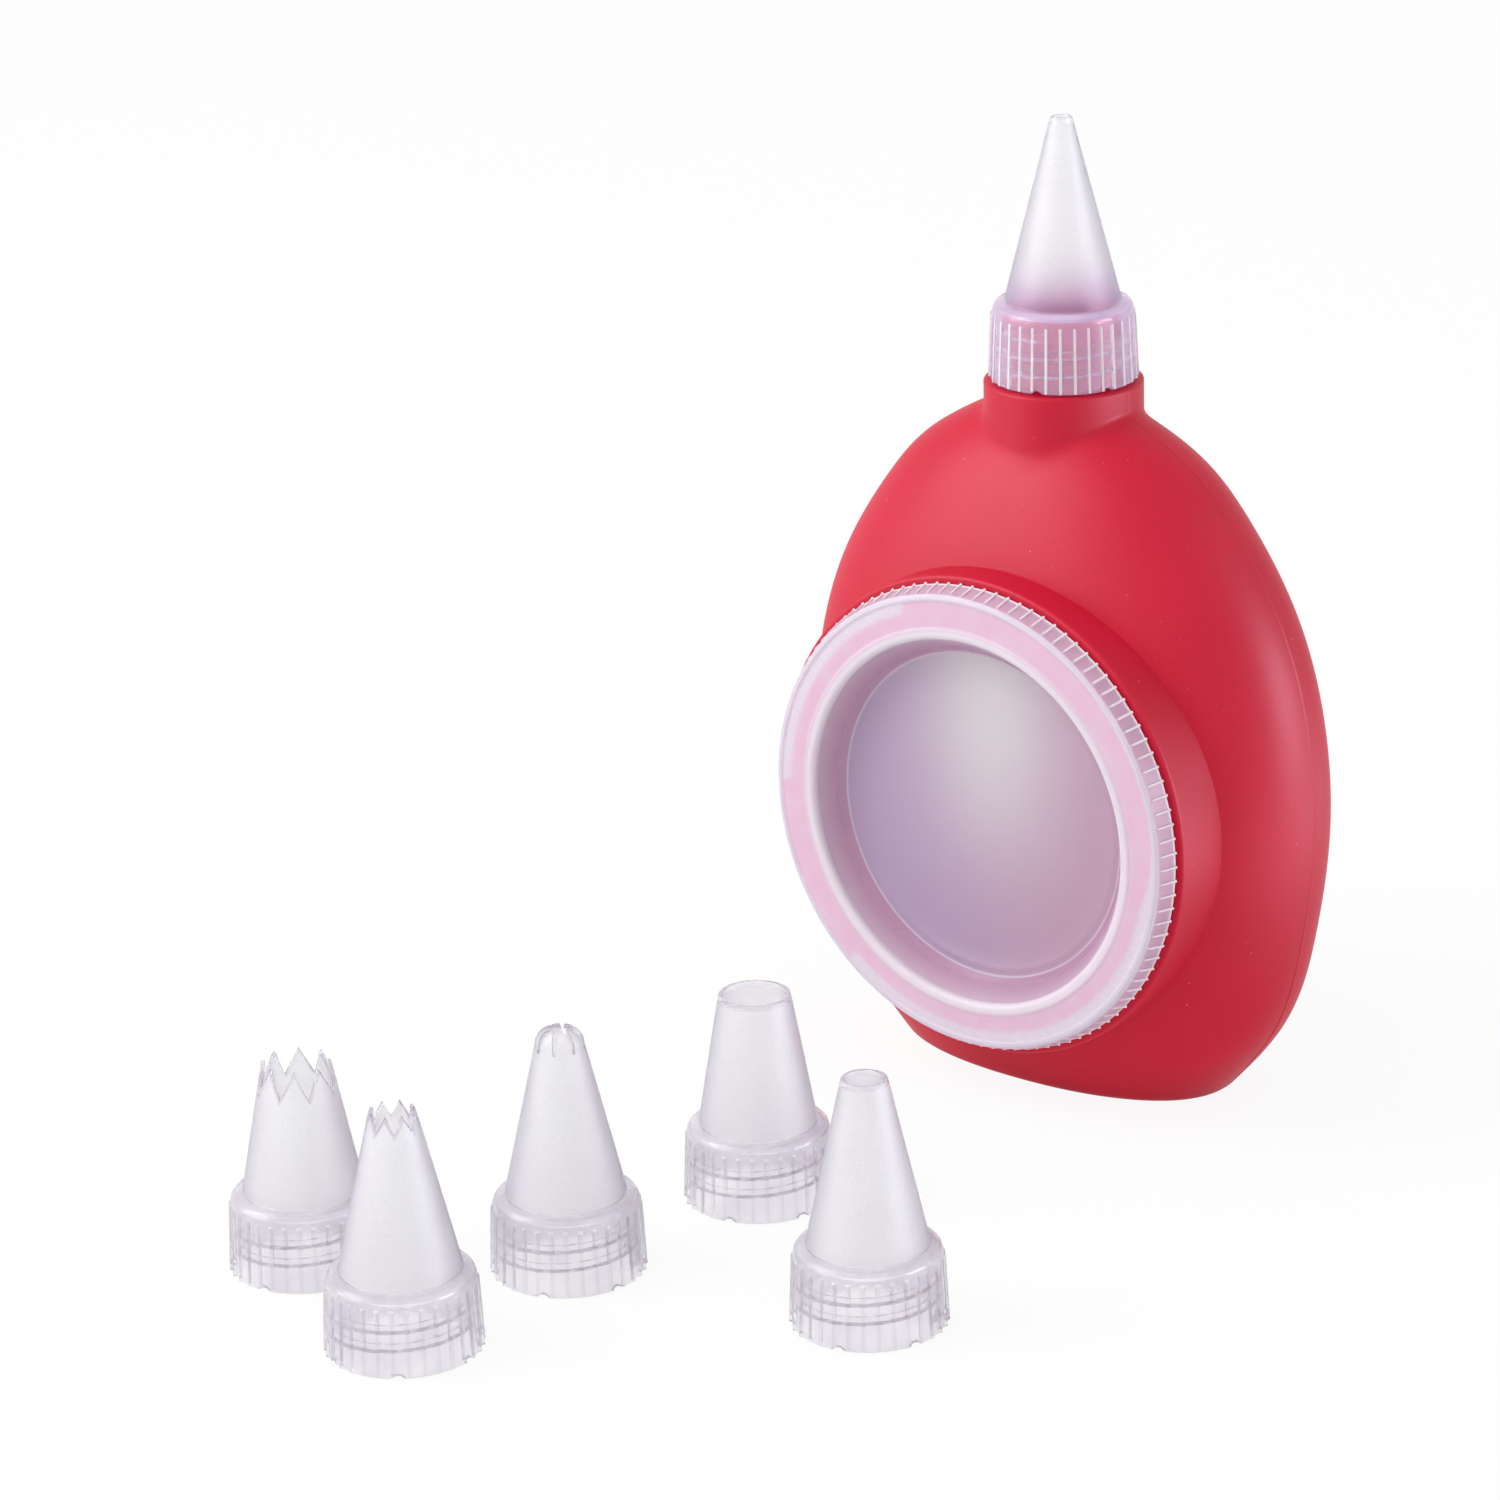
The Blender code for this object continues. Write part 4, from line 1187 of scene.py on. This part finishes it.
def make_nozzle(name, cone_height, tip_radius, dome=0.0, tooth=0.0, thread_start=0.0,
                plastic=SPARE_PLASTIC, rib_haze=0.44):
    """Marks the profile, turns it and adds ribs, thread, notches and, for a star, teeth."""
    points, marks = nozzle_profile(cone_height, tip_radius, dome)
    heights = np.array([z for _, z in points])
    cone = np.array(marks["cone"])
    frosted_top = CAP_HEIGHT + cone_height - (0.0 if dome else TIP_EDGE + CLEAR_RIM)
    marks["frost"] = marks["thick"] = cone * (heights < frosted_top - 0.01 * MM)
    marks["cast"] = 1.0 - cone
    marks["foot"] = cone * np.clip(1.0 - (heights - CAP_HEIGHT) / CAST_REACH, 0.0, 1.0) ** CAST_FALL
    marks["slope"] = cone * (tip_radius - CONE_RADIUS) / (cone_height - dome)
    marks["cone"] = cone * np.clip((heights - CAP_HEIGHT) / cone_height, 0, 1)
    piece = skin(name, turned(points, rib_angles(CAP_RIBS, CAP_STOPS)), marks, loop=True)
    shape(piece, RIB_TREE, plastic, "skirt", {
        "Ribs": float(CAP_RIBS), "Rib Height": 0.35 * MM, "Half Width Share": 0.18,
        "Top": 11.65 * MM, "Run Out": 0.45 * MM, "Bead Height": 0.0, "Bead Top": MM,
        "Haze": rib_haze})
    shape(piece, THREAD_TREE, plastic, "thread", {
        "Pitch": THREAD_PITCH, "Ridge Height": -0.9 * MM, "Ridge Width": 1.6 * MM,
        "Lowest": 0.36 * MM + 2 * MM, "Turns": 2.3, "Start Turn": thread_start})
    shape(piece, NOTCH_TREE, plastic, "", {
        "Notches": 6.0, "Half Width Share": 0.07, "Notch Depth": 0.5 * MM, "Reach": 2.0 * MM,
        "First": turns(-76.0)})
    if tooth:
        shape(piece, TOOTH_TREE, plastic, "cone", {
            "Points": float(STAR_POINTS), "Tooth Depth": tooth})
    return settle(piece)


def put_nozzle(piece, node, body, turn=0.0):
    """Turns a nozzle and stands it where its solid is."""
    low, high = (Vector(corner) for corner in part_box(node))
    middle = (low + high) / 2
    place = Matrix.Translation((middle.x, middle.y, low.z))
    piece.data.transform(place @ Matrix.Rotation(math.radians(turn), 4, "Z"))
    finish_piece(piece, node, body)


fine = make_nozzle("nozzle_fine_clear", FINE_HEIGHT, FINE_TIP, thread_start=0.536,
                   plastic=FITTED_PLASTIC, rib_haze=0.8)
THICK_FINISH, RIB_FINISH = 1, 2
fine.data.materials.append(FITTED_RIB)
for face in fine.data.polygons:
    if face.material_index == THICK_FINISH and face.center.z < CAP_HEIGHT - MM:
        face.material_index = RIB_FINISH
put_nozzle(fine, "nozzle_fine_round", "fitted_nozzle")

# %% [markdown]
# ### Round and star nozzles
# Two more nozzles are plain cones with wider holes. Two stars have their cones cut to teeth. Each
# row gives a cone's height, the radius of its tip and the depth of its teeth in millimetres, and
# by how many degrees the nozzle is turned.

# %% The four open spares
SPARES = (
    ("medium_round", 28.4, 3.8, 0.0, 0.0), ("wide_round", 22.9, 6.1, 0.0, 0.0),
    ("small_star", 27.4, 3.8, 2.9, 23.5), ("large_star", 22.7, 5.7, 4.9, -5.7))
for label, cone_height, tip_radius, tooth, turn in SPARES:
    spare = make_nozzle(f"nozzle_{label}_clear", cone_height * MM, tip_radius * MM,
                        tooth=tooth * MM)
    put_nozzle(spare, f"nozzle_{label}", "flask", turn)

# %% [markdown]
# ### The closed star
# The last nozzle ends in a dome that eight slots divide into claws. The slots are cut with one
# tool, a star of eight blades that is wider at its top and round at its bottom, so the claws come
# to points.

# %% A star of blades and the cut
SLOT_DEPTH = 3.6 * MM
SLOT_WIDE = 1.1 * MM
SLOT_NARROW = 0.6 * MM
BLADE_REACH = 6 * MM
CLOSED_HEIGHT = 29.0 * MM


def blade_ring(height, half_width):
    """One level of the cutting star: eight arms with parallel sides."""
    corner = half_width / math.sin(math.pi / STAR_POINTS)
    ring = []
    for k in range(STAR_POINTS):
        along = (k + 0.5) * math.tau / STAR_POINTS
        x, y = math.cos(along), math.sin(along)
        for half in (half_width, -half_width):
            ring.append((BLADE_REACH * x + half * y, BLADE_REACH * y - half * x, height))
        inner = along + math.pi / STAR_POINTS
        ring.append((corner * math.cos(inner), corner * math.sin(inner), height))
    return ring


closed = make_nozzle("nozzle_closed_star_clear", CLOSED_HEIGHT, 4.1 * MM, dome=3.0 * MM)
slot_top = CAP_HEIGHT + CLOSED_HEIGHT
slot_foot = slot_top - SLOT_DEPTH
round_foot = [(slot_foot + SLOT_NARROW / 2 * (1 - math.cos(a)), SLOT_NARROW / 2 * math.sin(a))
              for a in np.radians((12, 30, 50, 70, 90))]
blade_levels = round_foot + [(slot_top, SLOT_WIDE / 2), (slot_top + MM, SLOT_WIDE / 2)]
blades = skin("slot_blades", [blade_ring(z, w) for z, w in blade_levels], {}, loop=False)
settle(blades)
boolean(closed, blades, "DIFFERENCE")
put_nozzle(closed, "nozzle_closed_star", "flask", 6.5)

# %% [markdown]
# ## Floor, light and camera
# The floor and the world show plain white to the camera and in reflections, while the light that
# they throw on the object stays moderate. So the colours come out about as they were set, and the
# floor still takes a soft shadow.

# %% White floor and world
FLOOR_GLOW = 0.90
FLOOR_GREY = (0.9, 0.9, 0.9, 1.0)
FLOOR_HALF = 3.0
WORLD_LIGHT = 0.85


def white_rays(tree):
    """1 for rays that see the background: from the camera, in a reflection or through plastic."""
    path = tree.nodes.new("ShaderNodeLightPath")
    camera, glossy, through = (Value(tree, path.outputs[label]) for label in (
        "Is Camera Ray", "Is Glossy Ray", "Is Transmission Ray"))
    return camera.most(glossy).most(through)


def make_floor():
    material = bpy.data.materials.new("pale_floor")
    material.use_nodes = True
    tree = material.node_tree
    tree.nodes.clear()
    matt, glow, blend, out = (tree.nodes.new("ShaderNode" + kind) for kind in (
        "BsdfDiffuse", "Emission", "MixShader", "OutputMaterial"))
    matt.inputs["Color"].default_value = FLOOR_GREY
    (white_rays(tree) * FLOOR_GLOW).into(blend.inputs[0])
    tree.links.new(matt.outputs[0], blend.inputs[1])
    tree.links.new(glow.outputs[0], blend.inputs[2])
    tree.links.new(blend.outputs[0], out.inputs["Surface"])
    mesh = bpy.data.meshes.new("floor")
    corners = [(x * FLOOR_HALF, y * FLOOR_HALF, 0) for x, y in ((-1, -1), (1, -1), (1, 1), (-1, 1))]
    mesh.from_pydata(corners, [], [(0, 1, 2, 3)])
    floor = bpy.data.objects.new("floor", mesh)
    floor.data.materials.append(material)
    bpy.context.scene.collection.objects.link(floor)


def make_world():
    world = bpy.data.worlds.new("white_studio")
    bpy.context.scene.world = world
    world.use_nodes = True
    back = world.node_tree.nodes["Background"]
    back.inputs["Color"].default_value = (1.0, 1.0, 1.0, 1.0)
    strength = white_rays(world.node_tree) * (1.0 - WORLD_LIGHT) + WORLD_LIGHT
    strength.into(back.inputs["Strength"])


make_floor()
make_world()
print("floor glow", FLOOR_GLOW, "world light", WORLD_LIGHT)

# %% [markdown]
# ### Camera
# The object was seen from the right and above, with a long lens that hardly narrows what is
# further off. The camera was fitted to points on the caps, the lid's circles and the flask's
# outline.

# %% The camera
CAMERA_PLACE = Vector((537.61, -738.18, 385.15)) * MM
CAMERA_TURN = math.radians(39.57)
CAMERA_TILT = math.radians(19.69)
CAMERA_ROLL = math.radians(-1.72)
LENS = 132.0
SENSOR_WIDTH = 36.0


def make_camera():
    level = math.cos(CAMERA_TILT)
    back = Vector((math.sin(CAMERA_TURN) * level, -math.cos(CAMERA_TURN) * level,
                   math.sin(CAMERA_TILT)))
    right = Vector((math.cos(CAMERA_TURN), math.sin(CAMERA_TURN), 0.0))
    up = back.cross(right)
    rolled = right * math.cos(CAMERA_ROLL) + up * math.sin(CAMERA_ROLL)
    above = up * math.cos(CAMERA_ROLL) - right * math.sin(CAMERA_ROLL)
    data = bpy.data.cameras.new("studio_camera")
    data.lens = LENS
    data.sensor_width = SENSOR_WIDTH
    camera = bpy.data.objects.new("studio_camera", data)
    matrix = Matrix((rolled, above, back)).transposed().to_4x4()
    matrix.translation = CAMERA_PLACE
    camera.matrix_world = matrix
    bpy.context.scene.collection.objects.link(camera)
    bpy.context.scene.camera = camera


make_camera()
print("camera looks down by", round(math.degrees(CAMERA_TILT), 1), "degrees")

# %% [markdown]
# ### Light
# One soft lamp, high on the left, shapes the flask. What a product picture also has are gleams: a
# pale streak on the left of the flask, a bluish edge on its right, and a touch of light from the
# floor. Lamps strong enough for them would wash out the red, so these three show only in
# reflections.

# %% Lights
AIM = Vector((0.0, -40.0, 80.0)) * MM
COOL = (0.84, 0.82, 1.0)


def softbox(name, way, size, watts, colour=(1.0, 1.0, 1.0), gloss_only=False):
    """A square lamp a metre away, aimed at the object. It may show in gloss alone."""
    data = bpy.data.lights.new(name, "AREA")
    data.size = size
    data.energy = watts
    data.color = colour
    lamp = bpy.data.objects.new(name, data)
    lamp.location = AIM + Vector(way).normalized()
    lamp.rotation_euler = Vector(way).to_track_quat("Z", "Y").to_euler()
    lamp.visible_diffuse = lamp.visible_transmission = not gloss_only
    bpy.context.scene.collection.objects.link(lamp)
    return lamp


softbox("key_light", (-0.55, -0.50, 0.67), 0.5, 4.9)
softbox("left_gleam", (-0.62, -0.72, 0.30), 0.8, 14.0, gloss_only=True)
softbox("right_gleam", (0.95, 0.32, 0.0), 0.6, 26.0, COOL, gloss_only=True)
card = softbox("floor_card", (0.0, 0.0, 1.0), 0.34, 1.7, (0.86, 0.84, 1.0), gloss_only=True)
card.location = (0.28, 0.08, 0.004)
card.rotation_euler = (math.pi, 0.0, 0.0)
card.visible_camera = False
bpy.context.scene.view_settings.view_transform = "Standard"
print("lamps:", [lamp.name for lamp in bpy.data.lights])
